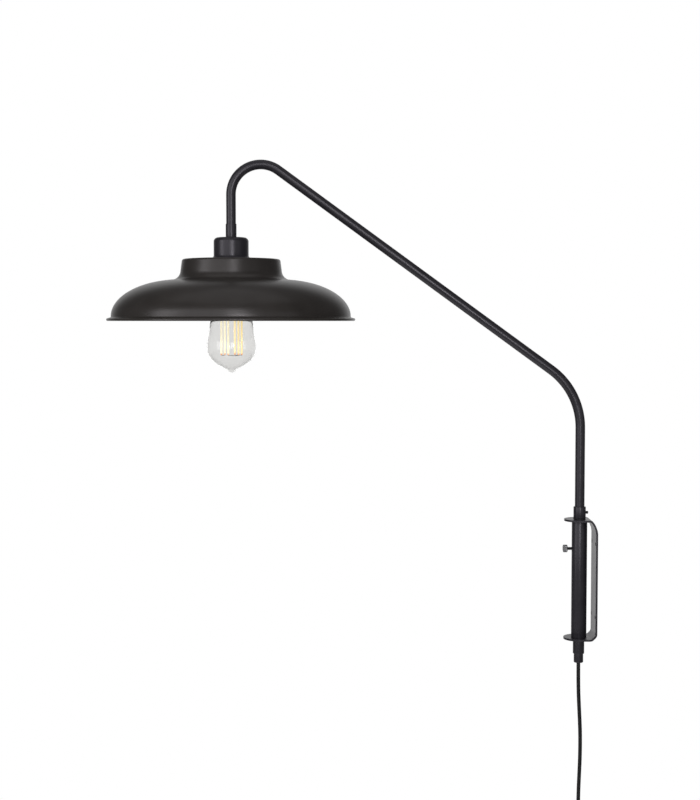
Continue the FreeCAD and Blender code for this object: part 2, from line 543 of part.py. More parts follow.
def terminal_screws():
    """Two screws in the insert's top, as one group of separate solids."""
    screws = []
    for side in (1, -1):
        place = Vector(number(LAMP_X), side * number("Dim.terminal_apart / 2"), number(INSERT_TOP))
        head = Part.makeCylinder(number("Dim.terminal_dia / 2"), number("Dim.terminal_dia / 2"), place)
        shank_long = number("Dim.terminal_long - Dim.seat_gap")
        shank = Part.makeCylinder(number("Dim.terminal_dia / 4"), shank_long, place, Vector(0, 0, -1))
        screws.append(head.fuse(shank).removeSplitter())
    return solids("terminal_screws", screws)


def solids(name, shapes, place=Vector()):
    """A sub-part made of ready solids: one alone, or several as a group."""
    feature = doc.addObject("Part::Feature", name)
    feature.Label = name
    feature.Shape = shapes[0] if len(shapes) == 1 else Part.makeCompound(shapes)
    feature.Placement = FreeCAD.Placement(place, FreeCAD.Rotation())
    return feature


def dome_join(side_point, normal, fillet, half_wide, half_high):
    """The ellipse's angle and the fillet's centre where a fillet beside the neck meets the dome."""
    start, base = number("Dim.dome_start_radius"), number("Dim.dome_base")

    def centre_at(angle):
        on_dome = Vector(start + half_wide * math.cos(angle), base + half_high * math.sin(angle), 0)
        outward = Vector(math.cos(angle) / half_wide, math.sin(angle) / half_high, 0).normalize()
        return on_dome + outward * fillet

    low, high = math.pi / 4, math.pi / 2 + 0.2
    for _ in range(60):
        middle = (low + high) / 2
        if (centre_at(middle) - side_point).dot(normal) > fillet:
            low = middle
        else:
            high = middle
    return low, centre_at(low)


def shade_side(inset):
    """One side of the spun shell, from the hole's edge over the neck and dome down to the rim."""
    taper = math.radians(number("Dim.neck_taper"))
    normal = Vector(math.cos(taper), math.sin(taper), 0)
    along = Vector(-math.sin(taper), math.cos(taper), 0)
    top = number("Dim.neck_height") - inset
    fillet = number("Dim.neck_fillet") + inset
    corner = number("Dim.neck_corner") - inset
    start, base = number("Dim.dome_start_radius"), number("Dim.dome_base")
    half_wide = number("Dim.dome_radius") - start - inset
    half_high = number("Dim.dome_height") - base - inset
    foot = Vector(number("Dim.neck_radius"), number("Dim.dome_height") + fillet, 0) - normal * inset
    angle, centre = dome_join(foot, normal, fillet, half_wide, half_high)
    fillet_top = centre - normal * fillet
    fillet_foot = Vector(start + half_wide * math.cos(angle), base + half_high * math.sin(angle), 0)
    halfway = centre - (normal + (centre - fillet_foot).normalize()).normalize() * fillet
    edge = fillet_top + along * ((top - fillet_top.y) / along.y)
    cut = corner * math.tan((math.pi / 2 - taper) / 2)
    bend_centre = edge + Vector(-cut, -corner, 0)
    bend_middle = bend_centre + (normal + Vector(0, 1, 0)).normalize() * corner
    hole = Vector(number("Dim.skirt_dia / 2 + Dim.shade_hole_gap"), top, 0)
    rim = Vector(start + half_wide, base, 0)
    ellipse = Part.Ellipse(Vector(start, base, 0), half_wide, half_high)
    return [
        Part.LineSegment(hole, edge - Vector(cut, 0, 0)).toShape(),
        Part.Arc(edge - Vector(cut, 0, 0), bend_middle, edge - along * cut).toShape(),
        Part.LineSegment(edge - along * cut, fillet_top).toShape(),
        Part.Arc(fillet_top, halfway, fillet_foot).toShape(),
        Part.ArcOfEllipse(ellipse, 0, angle).toShape(),
    ], hole, rim


def shade():
    """The spun shade: neck, concave fillet, quarter-ellipse dome and a flared lip with a folded edge."""
    outer, hole, crease = shade_side(0.0)
    inner, hole_below, inner_rim = shade_side(number("Dim.shade_wall"))
    tip = Vector(number("Dim.lip_radius"), number("Dim.lip_tip"), 0)
    above = tip + Vector(-number("Dim.shade_wall"), number("Dim.shade_wall"), 0) * 0.5
    below = tip + Vector(-number("Dim.shade_wall"), -number("Dim.shade_wall"), 0) * 0.5
    fold = Vector(crease.x, 0, 0)
    foot = Vector(inner_rim.x, 0, 0)
    lip = [Part.LineSegment(crease, above).toShape(), Part.Arc(above, tip, below).toShape(),
           Part.LineSegment(below, fold).toShape(), Part.LineSegment(fold, foot).toShape(),
           Part.LineSegment(foot, inner_rim).toShape()]
    closing = [Part.LineSegment(hole_below, hole).toShape()]
    outline = Part.Wire(Part.__sortEdges__(outer + lip + inner + closing))
    face = Part.Face(outline)
    face.rotate(Vector(), Vector(1, 0, 0), 90)
    shell = face.revolve(Vector(), Vector(0, 0, 1), 360)
    return solids("shade", [shell], Vector(number(LAMP_X), 0, number(RIM)))


def shade_ring():
    return ring("shade_ring", LAMP_X, "(Dim.skirt_dia + 2 * Dim.thread_gap)", "Dim.ring_dia",
                CUP_FOOT + " - Dim.shade_wall - Dim.ring_thick", CUP_FOOT + " - Dim.shade_wall")


def bulb_cap_pieces():
    """The bulb's screw cap, the black insulator above it and the contact at its top."""
    cap_in = "(Dim.cap_dia / 2 - Dim.cap_wall)"
    cap = ring("bulb_cap", LAMP_X, "(2 * %s)" % cap_in, "Dim.cap_dia", CAP_FOOT, CAP_TOP)
    insulator_top = "(%s - Dim.contact_long)" % BULB_TOP
    insulator = turned("bulb_insulator", LAMP_X, [
        ("0", CAP_TOP), ("Dim.cap_dia / 2", CAP_TOP), ("Dim.insulator_top_dia / 2", insulator_top),
        ("0", insulator_top)])
    contact = turned("bulb_contact", LAMP_X,
                     box_corners("0", "Dim.contact_dia / 2", insulator_top, BULB_TOP))
    return [cap, insulator, contact]


def bulb_glass():
    """The pear-shaped glass: a turned shell whose outside runs through the stations."""
    wall = number("Dim.bulb_glass_wall")
    places = [Vector(number("Dim.glass_radius_" + name), 0, number("Dim.glass_height_" + name))
              for name, _, _ in GLASS_STATIONS]
    outside = Part.BSplineCurve()
    outside.interpolate(places, InitialTangent=Vector(1, 0, 0), FinalTangent=Vector(0, 0, 1), Scale=False)
    inward = [Vector(0, 0, wall)]
    for place in places[1:]:
        tangent = outside.tangent(outside.parameter(place))[0]
        inward.append(place + Vector(-tangent.z, 0, tangent.x) * wall)
    inward[-1].z = places[-1].z
    inside = Part.BSplineCurve()
    inside.interpolate(inward, InitialTangent=Vector(1, 0, 0), FinalTangent=Vector(0, 0, 1), Scale=False)
    outline = Part.Wire([outside.toShape(), Part.LineSegment(places[-1], inward[-1]).toShape(),
                         inside.toShape(), Part.LineSegment(inward[0], places[0]).toShape()])
    shell = Part.Face(outline).revolve(Vector(), Vector(0, 0, 1), 360)
    return solids("bulb_glass", [shell], Vector(number(LAMP_X), 0, number(BULB_TIP)))


def bulb_stem():
    """The glass stem that closes the neck and holds the filament wires."""
    top = "(%s + Dim.glass_height_tuck)" % BULB_TIP
    foot = "(%s + Dim.filament_foot + Dim.filament_long)" % BULB_TIP
    return turned("bulb_stem", LAMP_X, [
        ("0", foot), ("Dim.stem_dia / 2", foot), ("Dim.stem_dia / 2", top + " - Dim.stem_flare_dia / 2"),
        ("Dim.stem_flare_dia / 2", top + " - Dim.bulb_glass_wall"), ("Dim.stem_flare_dia / 2", top),
        ("0", top)])


def filament_places(height):
    middle = Vector(number(LAMP_X), 0, number(BULB_TIP) + height)
    turns = [math.radians(number("Dim.filament_turn") + 360.0 * item / FILAMENTS)
             for item in range(FILAMENTS)]
    radius = number("Dim.filament_ring")
    return [middle + Vector(radius * math.cos(turn), radius * math.sin(turn), 0) for turn in turns]


def filaments():
    """The upright light sticks, and the wires that join them in pairs and hang them from the stem."""
    foot = number("Dim.filament_foot")
    long = number("Dim.filament_long")
    feet, tops = filament_places(foot), filament_places(foot + long)
    sticks = solids("filament_sticks", [
        Part.makeCylinder(number("Dim.filament_dia / 2"), long, place) for place in feet])
    thin = number("Dim.wire_dia / 2")
    hub = Vector(number(LAMP_X), 0, tops[0].z)
    wires = []
    for place in tops:
        spoke = hub + (place - hub).normalize() * number("Dim.stem_dia / 2")
        reach = place - spoke
        wires.append(Part.makeCylinder(thin, reach.Length, spoke + Vector(0, 0, thin), reach))
    for first, second in zip(feet[0::2], feet[1::2]):
        reach = second - first
        wires.append(Part.makeCylinder(thin, reach.Length, first - Vector(0, 0, thin), reach))
    return [sticks, solids("filament_wires", wires)]


# ---- cord ----

# The cord's free stretches, from where each one starts: chosen points in millimetres. The runs that
# meet the coil are straight and continue its ends.
HANG_ROUTE = [(0, 0, 0), (0, 0, -31), (1.5, 0.3, -61), (3.2, 0.2, -93), (3.0, -0.8, -126),
              (2.1, -0.6, -150), (1.5, 0.6, -172), (1.3, 0.6, -190)]
COIL_RUN = 18.0
PLUG_ROUTE = [(0, 0, 0), (0, 0, -16), (0.5, 0.8, -31), (0.5, 0.8, -46)]


def smooth_path(points, name):
    """Straight runs joined by tangent arcs, each as large as its two runs allow."""
    edges, radii = [], []
    here = points[0]
    for before, corner, after in zip(points, points[1:], points[2:]):
        coming, going = (corner - before).normalize(), (after - corner).normalize()
        half_turn = coming.getAngle(going) / 2
        cut = 0.45 * min((corner - before).Length, (after - corner).Length)
        radius = cut / math.tan(half_turn)
        start, end = corner - coming * cut, corner + going * cut
        inward = (going - coming).normalize()
        middle = corner + inward * (radius / math.cos(half_turn) - radius)
        edges += [Part.LineSegment(here, start).toShape(), Part.Arc(start, middle, end).toShape()]
        radii.append(radius)
        here = end
    edges.append(Part.LineSegment(here, points[-1]).toShape())
    print(name, "radii", [round(radius) for radius in radii])
    return Part.Wire(edges)


def tube(name, path):
    """A round tube of the cord's diameter along a path, its volume compared with section times length."""
    start = path.Edges[0]
    direction = start.tangentAt(start.FirstParameter)
    radius = number("Dim.cord_dia / 2")
    section = Part.Wire(Part.makeCircle(radius, start.valueAt(start.FirstParameter), direction))
    shape = path.makePipeShell([section], True, False)
    expected = math.pi * radius ** 2 * path.Length
    print(name, "length", round(path.Length, 1), "volume ratio", round(shape.Volume / expected, 4))
    return solids(name, [shape])


def route_from(start, steps):
    return [start + Vector(*step) for step in steps]


def coil_places(centre):
    """Points and directions of the coil at every quarter turn: flat spirals, in and out by layers."""
    pitch, middle = number("Dim.coil_pitch"), number("Dim.coil_mid_radius")
    layer_turns = number(COIL_TURNS) / COIL_LAYERS
    first_turn = number("Dim.coil_start_turn") / 360.0

    def place(turns):
        layer = min(int(turns / layer_turns), COIL_LAYERS - 1)
        inward = turns / layer_turns - layer
        sweep = inward if layer % 2 else 1 - inward
        radius = middle + pitch * layer_turns * (sweep - 0.5)
        climb = 0.0
        for step in range(1, COIL_LAYERS):
            climb += min(max((turns - step * layer_turns) * 2 + 0.5, 0.0), 1.0)
        angle = 2 * math.pi * (first_turn + turns)
        return centre + Vector(-pitch * climb, -radius * math.sin(angle), radius * math.cos(angle))

    total = layer_turns * COIL_LAYERS
    count = round(total * 4)
    places = []
    for item in range(count + 1):
        turns = total * item / count
        ahead, behind = place(min(turns + 1e-5, total)), place(max(turns - 1e-5, 0.0))
        places.append((place(turns), (ahead - behind).normalize()))
    return places


def arc_from(start, direction, end):
    """The arc that leaves start in a direction and arrives at end."""
    chord = end - start
    half = direction.getAngle(chord) / 2
    unit = Vector(chord).normalize()
    side = (direction - unit * direction.dot(unit)).normalize()
    middle = (start + end) * 0.5 + side * (chord.Length / 2 * math.tan(half))
    return Part.Arc(start, middle, end).toShape()


def biarc(start, start_way, end, end_way):
    """Two arcs that share a direction where they meet, from one place and direction to another."""
    chord, ways = end - start, start_way + end_way
    bend = 2 * (1 - start_way.dot(end_way))
    reach = (math.sqrt(chord.dot(ways) ** 2 + bend * chord.dot(chord)) - chord.dot(ways)) / bend
    joint = (start + end + (start_way - end_way) * reach) * 0.5
    second = arc_from(end, end_way * -1, joint)
    return [arc_from(start, start_way, joint), second]


def coil_wire(centre):
    """The coil's path: a straight lead, biarcs of a quarter turn, and a straight lead out."""
    places = coil_places(centre)
    lead = number("Dim.coil_lead")
    first, first_way = places[0]
    last, last_way = places[-1]
    edges = [Part.LineSegment(first - first_way * lead, first).toShape()]
    for (start, start_way), (end, end_way) in zip(places, places[1:]):
        edges += biarc(start, start_way, end, end_way)
    edges.append(Part.LineSegment(last, last + last_way * lead).toShape())
    return Part.Wire(Part.__sortEdges__(edges))


def least_gap(path, diameter):
    """The smallest gap between stretches of a path that lie more than half a turn apart."""
    count = round(path.Length / 2.0)
    points = path.discretize(count)
    apart = round(count * number("Dim.coil_mid_radius") * math.pi / path.Length)
    nearest = min((points[one] - points[other]).Length
                  for one in range(count) for other in range(one + apart, count))
    return nearest - diameter


def cord_pieces():
    """The hanging cord, the tied coil of its spare length, and the tails to the switch and the plug."""
    exit_point = Vector(number(SPINDLE_X), 0, number(GRIP_FOOT))
    lead = number("Dim.coil_lead")
    first, first_way = coil_places(Vector())[0]
    hang = route_from(exit_point, HANG_ROUTE)
    hang.append(hang[-1] + first_way * COIL_RUN)
    hanging = tube("hanging_cord", smooth_path(hang, "hanging_cord"))
    centre = hang[-1] + first_way * lead - first
    wire = coil_wire(centre)
    coil = tube("cord_coil", wire)
    print("cord_coil least gap", round(least_gap(wire, number("Dim.cord_dia")), 3))
    tie = cord_tie(centre)
    last, last_way = coil_places(centre)[-1]
    tail_start = last + last_way * lead
    tail_corner = tail_start + last_way * COIL_RUN
    tail_points = [tail_start, tail_corner, tail_corner - Vector(0, 0, COIL_RUN)]
    tail = tube("cord_tail", smooth_path(tail_points, "cord_tail"))
    switch_top = tail_points[-1]
    plug_points = route_from(switch_top - Vector(0, 0, number("Dim.switch_long")), PLUG_ROUTE)
    plug_tail = tube("plug_tail", smooth_path(plug_points, "plug_tail"))
    return [hanging, coil, tie, tail, plug_tail], switch_top, plug_points[-1]


def rounded_box(sketch, half_x, half_y, corner):
    """A rectangle with rounded corners about the sketch's origin."""
    near_x, near_y = "(%s - %s)" % (half_x, corner), "(%s - %s)" % (half_y, corner)
    draw(sketch, [
        ("-" + near_x, "-" + half_y), (near_x, "-" + half_y), (half_x, "-" + near_y), (half_x, near_y),
        (near_x, half_y), ("-" + near_x, half_y), ("-" + half_x, near_y), ("-" + half_x, "-" + near_y)],
        {1: (corner, 1), 3: (corner, 1), 5: (corner, 1), 7: (corner, 1)})


def cord_tie(centre):
    """A flat strap round the coil's bundle, just past where the cord joins it."""
    body = new_body("cord_tie")
    half_x = "(Dim.coil_pitch * %g + Dim.cord_dia / 2 + Dim.tie_gap)" % ((COIL_LAYERS - 1) / 2)
    half_y = "(%s / 2 + Dim.cord_dia / 2 + Dim.tie_gap)" % COIL_DEEP
    corner = "(Dim.cord_dia / 2)"
    sketch = new_sketch(body, "cord_tie_outline", "XY_Plane")
    rounded_box(sketch, "(%s + Dim.tie_thick)" % half_x, "(%s + Dim.tie_thick)" % half_y,
                "(%s + Dim.tie_thick)" % corner)
    rounded_box(sketch, half_x, half_y, corner)
    pad(body, sketch, "Dim.tie_width", symmetric=True)
    turn = number("Dim.tie_turn")
    outward = Vector(0, -math.sin(math.radians(turn)), math.cos(math.radians(turn)))
    middle = centre + outward * number("Dim.coil_mid_radius")
    middle.x -= number("Dim.coil_pitch") * (COIL_LAYERS - 1) / 2
    body.Placement = FreeCAD.Placement(middle, FreeCAD.Rotation(Vector(1, 0, 0), 90 + turn))
    return body


def place_body(body, place, rotation=None):
    body.Placement = FreeCAD.Placement(place, rotation or FreeCAD.Rotation())
    return body


def cord_switch(top):
    """The switch on the cord: two half shells and a rocker on a pin in the front wall."""
    middle = top - Vector(0, 0, number("Dim.switch_long / 2"))
    half_y, half_z = "(Dim.switch_width / 2)", "(Dim.switch_long / 2)"
    halves = []
    for name, towards_room, floor in (("switch_base", False, "Dim.switch_wall"),
                                      ("switch_cover", True, "Dim.switch_front")):
        body = place_body(new_body(name), middle)
        outline = new_sketch(body, name + "_outline", "YZ_Plane")
        rounded_box(outline, half_y, half_z, "Dim.switch_round")
        shell = pad(body, outline, "Dim.switch_thick / 2")
        shell.Reversed = towards_room
        round_edges(body, shell, "Dim.switch_edge", lambda box: box.XLength < 0.01 and abs(box.XMin) > 0.01)
        cavity = new_sketch(body, name + "_cavity", "YZ_Plane")
        rounded_box(cavity, "(%s - Dim.switch_wall)" % half_y, "(%s - 3 * Dim.switch_wall)" % half_z,
                    "(Dim.switch_round - Dim.switch_wall)")
        pocket(body, cavity, "Dim.switch_thick / 2 - " + floor, reverse=not towards_room)
        halves.append(body)
    cover = halves[1]
    window = new_sketch(cover, "rocker_window", "YZ_Plane")
    side, end = "(Dim.rocker_width / 2 + Dim.rocker_gap)", "(Dim.rocker_long / 2 + Dim.rocker_gap)"
    draw(window, box_corners("-" + side, side, "-" + end, end))
    pocket(cover, window, "Dim.switch_thick")
    pivot_x = "-(Dim.switch_thick / 2 - Dim.rocker_pivot_deep)"
    pin_hole = new_sketch(cover, "pin_hole", "XZ_Plane")
    draw_circle(pin_hole, pivot_x, "0", "Dim.rocker_pin_dia + 2 * Dim.running_gap")
    pocket(cover, pin_hole, PIN_LENGTH + " + 2 * Dim.running_gap", symmetric=True)
    foot = top - Vector(0, 0, number("Dim.switch_long"))
    boots = [boot("switch_boot_top", top, True), boot("switch_boot_foot", foot, False)]
    return halves + [rocker(middle)] + boots


def rocker(middle):
    """The rocker, tilted to one of its two places; its ends are arcs about the pin."""
    body = new_body("switch_rocker")
    sketch = new_sketch(body, "rocker_side")
    crown = "(Dim.rocker_pivot_deep + Dim.rocker_crown)"
    front = "(%s - Dim.rocker_long / 2 * tan(Dim.rocker_angle * 1 deg))" % crown
    end_high = "sqrt(Dim.rocker_long * Dim.rocker_long / 4 - %s * %s)" % (front, front)
    back_high = "sqrt(Dim.rocker_long * Dim.rocker_long / 4 - Dim.rocker_back * Dim.rocker_back)"
    draw(sketch, [
        ("-" + crown, "0"), ("-" + front, "-" + end_high), ("Dim.rocker_back", "-" + back_high),
        ("Dim.rocker_back", back_high), ("-" + front, end_high)],
        {1: ("Dim.rocker_long / 2", 1), 3: ("Dim.rocker_long / 2", 1)})
    pad(body, sketch, "Dim.rocker_width", symmetric=True)
    pin = new_sketch(body, "rocker_pin")
    draw_circle(pin, "0", "0", "Dim.rocker_pin_dia")
    pad(body, pin, PIN_LENGTH, symmetric=True)
    pivot = middle - Vector(number("Dim.switch_thick / 2 - Dim.rocker_pivot_deep"), 0, 0)
    print("rocker pivot", tuple(round(item, 4) for item in pivot))
    return place_body(body, pivot, FreeCAD.Rotation(Vector(0, 1, 0), number("Dim.rocker_angle")))


def round_edges(body, base, radius, wanted):
    """Round the edges of a feature whose boxes are wanted."""
    doc.recompute()
    edges = ["Edge%d" % count for count, edge in enumerate(base.Shape.Edges, start=1)
             if wanted(edge.BoundBox)]
    rounded = body.newObject("PartDesign::Fillet", body.Name + "_edges")
    rounded.Base = (base, edges)
    rounded.setExpression("Radius", radius)
    doc.recompute()


def boot(name, root, upwards):
    """A tapered sleeve that keeps the cord from kinking where it enters the switch or the plug."""
    body = place_body(new_body(name), root)
    sketch = new_sketch(body, name + "_outline")
    tip = "Dim.boot_long" if upwards else "-Dim.boot_long"
    bore = "(Dim.cord_dia / 2 + Dim.boot_gap)"
    draw(sketch, [(bore, "0"), ("Dim.boot_root_dia / 2", "0"), ("Dim.boot_tip_dia / 2", tip), (bore, tip)])
    revolve(body, sketch)
    return body


def plug(top):
    """The plug: a flat moulded body that widens towards its face, and two round pins."""
    body = place_body(new_body("plug_body"), top)
    outline = new_sketch(body, "plug_outline", "YZ_Plane")
    neck, wide = "Dim.plug_neck_width / 2", "Dim.plug_width / 2"
    draw(outline, [
        ("-" + neck, "0"), ("-" + wide, "-Dim.plug_long"), (wide, "-Dim.plug_long"), (neck, "0")])
    block = pad(body, outline, "Dim.plug_thick", symmetric=True)
    round_edges(body, block, "Dim.plug_round", lambda box: True)
    roots = new_sketch(body, "pin_roots", "XY_Plane", lift="-Dim.plug_long")
    for side in ("", "-"):
        draw_circle(roots, "0", side + "Dim.pin_apart / 2", "Dim.pin_dia + 2 * Dim.seat_gap")
    pocket(body, roots, "Dim.pin_root", reverse=True)
    radius = number("Dim.pin_dia / 2")
    pins = []
    for side in (1, -1):
        root = top + Vector(0, side * number("Dim.pin_apart / 2"), number("Dim.pin_root - Dim.plug_long"))
        straight = number("Dim.pin_root + Dim.pin_long") - radius
        shaft = Part.makeCylinder(radius, straight, root, Vector(0, 0, -1))
        end = Part.makeSphere(radius, root - Vector(0, 0, straight))
        pins.append(shaft.fuse(end).removeSplitter())
    print("plug face", tuple(round(item, 4) for item in top - Vector(0, 0, number("Dim.plug_long"))))
    return [body, solids("plug_pins", pins), boot("plug_boot", top, True)]


def build():
    pieces = [wall_bracket()]
    pieces += sleeve_and_bushes()
    pieces += washers()
    pieces += thumb_screw()
    pieces += main_pipes()
    pieces += collars()
    pieces += cord_grip()
    pieces += ferrule_and_nipple()
    pieces += [lampholder_cup()]
    pieces += lampholder()
    pieces += [terminal_screws(), shade(), shade_ring()]
    pieces += bulb_cap_pieces()
    pieces += [bulb_glass(), bulb_stem()]
    pieces += filaments()
    cords, switch_top, plug_top = cord_pieces()
    pieces += cords
    pieces += cord_switch(switch_top)
    pieces += plug(plug_top)
    return pieces


def check_and_write(pieces):
    """Every object must be sound and every sub-part a valid shape before anything is written."""
    doc.recompute()
    failed = [item.Label for item in doc.Objects if "Invalid" in item.State or "Error" in item.State]
    bad = [item.Label for item in pieces if item.Shape.isNull() or not item.Shape.isValid()]
    if failed or bad:
        raise RuntimeError("failed objects %s, bad shapes %s" % (failed, bad))
    os.makedirs("parts", exist_ok=True)
    for item in pieces:
        item.Shape.exportStep("parts/%s.step" % item.Label)
        box = item.Shape.BoundBox
        ends = (box.XMin, box.XMax, box.YMin, box.YMax, box.ZMin, box.ZMax)
        print("%-18s %8.1f mm3 " % (item.Label, item.Shape.Volume),
              "%.2f %.2f  %.2f %.2f  %.2f %.2f" % ends)


check_and_write(build())
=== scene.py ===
import math

import bmesh
import bpy
import numpy as np
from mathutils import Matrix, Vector


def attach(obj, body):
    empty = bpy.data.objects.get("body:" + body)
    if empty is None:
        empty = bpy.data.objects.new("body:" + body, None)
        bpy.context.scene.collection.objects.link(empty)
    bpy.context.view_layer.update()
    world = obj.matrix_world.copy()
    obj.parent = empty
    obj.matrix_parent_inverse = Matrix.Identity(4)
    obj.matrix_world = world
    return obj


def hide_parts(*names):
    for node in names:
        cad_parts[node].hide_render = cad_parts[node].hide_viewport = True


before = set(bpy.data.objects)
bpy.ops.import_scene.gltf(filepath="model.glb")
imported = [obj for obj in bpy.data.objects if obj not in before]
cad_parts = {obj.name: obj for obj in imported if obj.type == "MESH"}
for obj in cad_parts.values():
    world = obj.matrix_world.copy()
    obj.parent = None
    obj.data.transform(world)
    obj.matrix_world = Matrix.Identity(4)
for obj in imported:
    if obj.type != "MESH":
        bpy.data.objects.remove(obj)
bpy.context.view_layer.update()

# ---- The view and the studio ----
# The lamp is seen from the side, from the height of its shade's rim, in an even white room. Soft
# lamps stand beside the viewer and on the left, weaker ones above and on the right, and a small one
# in front whose glare shows on the bulb. A round sheet of pale paper lies below.


class Wire:
    """A socket of a shader. Arithmetic on it adds Math nodes, and node() adds any other node."""

    def __init__(self, tree, socket=None):
        self.tree = tree
        self.socket = socket

    def node(self, kind, settings, sockets, output=0):
        made = self.tree.nodes.new(kind)
        for name, value in settings.items():
            setattr(made, name, value)
        for name, value in sockets.items():
            if isinstance(value, Wire):
                self.tree.links.new(value.socket, made.inputs[name])
            else:
                made.inputs[name].default_value = value
        return Wire(self.tree, made.outputs[output])

    def beside(self, output):
        """Another output of the same node."""
        return Wire(self.tree, self.socket.node.outputs[output])

    def part(self, axis):
        """One number of a vector."""
        return self.node("ShaderNodeSeparateXYZ", {}, {"Vector": self}, axis)

    def math(self, operation, first, second):
        return self.node("ShaderNodeMath", {"operation": operation}, {0: first, 1: second})

    def __add__(self, other):
        return self.math("ADD", self, other)

    __radd__ = __add__

    def __sub__(self, other):
        return self.math("SUBTRACT", self, other)

    def __rsub__(self, other):
        return self.math("SUBTRACT", other, self)

    def __mul__(self, other):
        return self.math("MULTIPLY", self, other)

    __rmul__ = __mul__

    def limited(self, low, high):
        """The share of the way from low to high, kept between 0 and 1."""
        return self.node("ShaderNodeMapRange", {"clamp": True},
                         {"Value": self, "From Min": low, "From Max": high})


scene = bpy.context.scene
scene.view_settings.view_transform = "Standard"


def placed(name, data):
    """A new object in the scene."""
    made = bpy.data.objects.new(name, data)
    scene.collection.objects.link(made)
    return made


LOOK_DOWN = 3.034
camera = bpy.data.cameras.new("side_view")
camera.lens = 67.5
camera.sensor_width = 36.0
viewer = placed("side_view", camera)
viewer.location = (-0.3211, -1.9481, 0.3376)
viewer.rotation_euler = (math.radians(90 - LOOK_DOWN), 0, 0)
scene.camera = viewer

world = bpy.data.worlds.new("white_studio")
world.use_nodes = True
scene.world = world
tree = world.node_tree
# The room lights the lamp at the level FILL and looks white to the viewer. In mirror images it has
# the level GLOSS, and is white only near straight behind the lamp.
FILL = 0.40
GLOSS = 0.08
way = Wire(tree).node("ShaderNodeTexCoord", {}, {}, "Generated")
rays = way.node("ShaderNodeLightPath", {}, {}, "Is Camera Ray")
backdrop = way.part("Y").limited(0.72, 0.99)
seen = (rays + rays.beside("Is Transmission Ray")).limited(0.0, 1.0)
mirrored = rays.beside("Is Glossy Ray") * (1 - seen)
level = FILL + (1 - FILL) * seen + mirrored * (GLOSS - FILL + (1 - GLOSS) * backdrop)
sky = way.node("ShaderNodeBackground", {}, {"Color": (1.0, 1.0, 1.0, 1.0), "Strength": level})
tree.links.new(sky.socket, tree.nodes["World Output"].inputs["Surface"])


def soft_lamp(name, place, target, wide, high, power):
    """A flat soft lamp at a place, turned to face a target."""
    lamp = bpy.data.lights.new(name, "AREA")
    lamp.shape = "RECTANGLE"
    lamp.size = wide
    lamp.size_y = high
    lamp.energy = power
    holder = placed(name, lamp)
    facing = Vector(target) - Vector(place)
    holder.rotation_euler = facing.to_track_quat("-Z", "Y").to_euler()
    holder.location = place


soft_lamp("front", (-0.10, -2.35, 0.86), (-0.32, 0.0, 0.3), 0.55, 2.0, 14.0)
soft_lamp("left", (-2.35, -1.08, 0.60), (-0.32, 0.0, 0.3), 0.8, 1.6, 11.0)
soft_lamp("front_left", (-1.57, -2.17, 0.84), (-0.32, 0.0, 0.3), 2.0, 2.1, 14.5)
soft_lamp("top", (-0.4, -0.1, 2.4), (-0.32, 0.0, 0.2), 2.2, 2.2, 5.0)
soft_lamp("hot_spot", (0.06, -2.2, 0.42), (-0.47, 0.0, 0.3), 0.34, 0.26, 4.5)
soft_lamp("right", (1.6, -1.6, 0.5), (-0.32, 0.0, 0.3), 1.5, 1.5, 2.5)

FLOOR_X = -0.3
FLOOR_HEIGHT = -0.72
FLOOR_RADIUS = 1.15
FLOOR_SIDES = 96
turn = np.linspace(0, 2 * np.pi, FLOOR_SIDES, endpoint=False)
rim = np.stack([FLOOR_RADIUS * np.cos(turn) + FLOOR_X, FLOOR_RADIUS * np.sin(turn),
                np.full(FLOOR_SIDES, FLOOR_HEIGHT)], axis=1)
floor_mesh = bpy.data.meshes.new("floor")
floor_mesh.from_pydata(rim.tolist(), [], [list(range(FLOOR_SIDES))])
floor = placed("floor", floor_mesh)
paper = bpy.data.materials.new("pale_floor")
paper.use_nodes = True
matt = paper.node_tree.nodes["Principled BSDF"]
matt.inputs["Base Color"].default_value = (0.93, 0.93, 0.92, 1.0)
matt.inputs["Roughness"].default_value = 0.9
# Seen from below, the paper is clear, so that it doesn't hide the lamp.
sheet = Wire(paper.node_tree, matt.outputs[0])
under = sheet.node("ShaderNodeNewGeometry", {}, {}, "Backfacing")
clear = sheet.node("ShaderNodeBsdfTransparent", {}, {})
shown = sheet.node("ShaderNodeMixShader", {}, {0: under, 1: sheet, 2: clear})
paper.node_tree.links.new(shown.socket, paper.node_tree.nodes["Material Output"].inputs["Surface"])
floor_mesh.materials.append(paper)

# ---- The cord ----
# A round two-core cable, 5 mm thick, in a smooth black plastic sheath. It hangs from the grip under
# the arm. Its spare length is wound into a flat coil of nine turns, and below that it carries its
# switch and its plug.

CORD_THICK = 0.005
CORD_EXIT = np.array([-0.0213, 0.0, -0.1103])
HANG_POINTS = np.array([
    (0, 0, 0), (0, 0, -0.031), (0.0015, 0.0003, -0.061), (0.0032, 0.0002, -0.093),
    (0.0030, -0.0008, -0.126), (0.0021, -0.0006, -0.150), (0.0015, 0.0006, -0.172),
    (0.0013, 0.0006, -0.190)])
COIL_RUN = 0.018
COIL_LEAD = 0.005
SWITCH_LONG = 0.058
PLUG_POINTS = np.array([(0, 0, -0.016), (0.0005, 0.0008, -0.031), (0.0005, 0.0008, -0.046)])
COIL_LAYERS = 4
COIL_TURNS = 9 + 40 / 360
COIL_START = math.radians(50)
COIL_PITCH = 0.0056
COIL_RADIUS = 0.0275
COIL_POINTS = 146
# The curve runs inside the coil's points by this share of their distance from the middle.
CURVE_SHARE = 0.981
SHORT_STEP = 1e-5


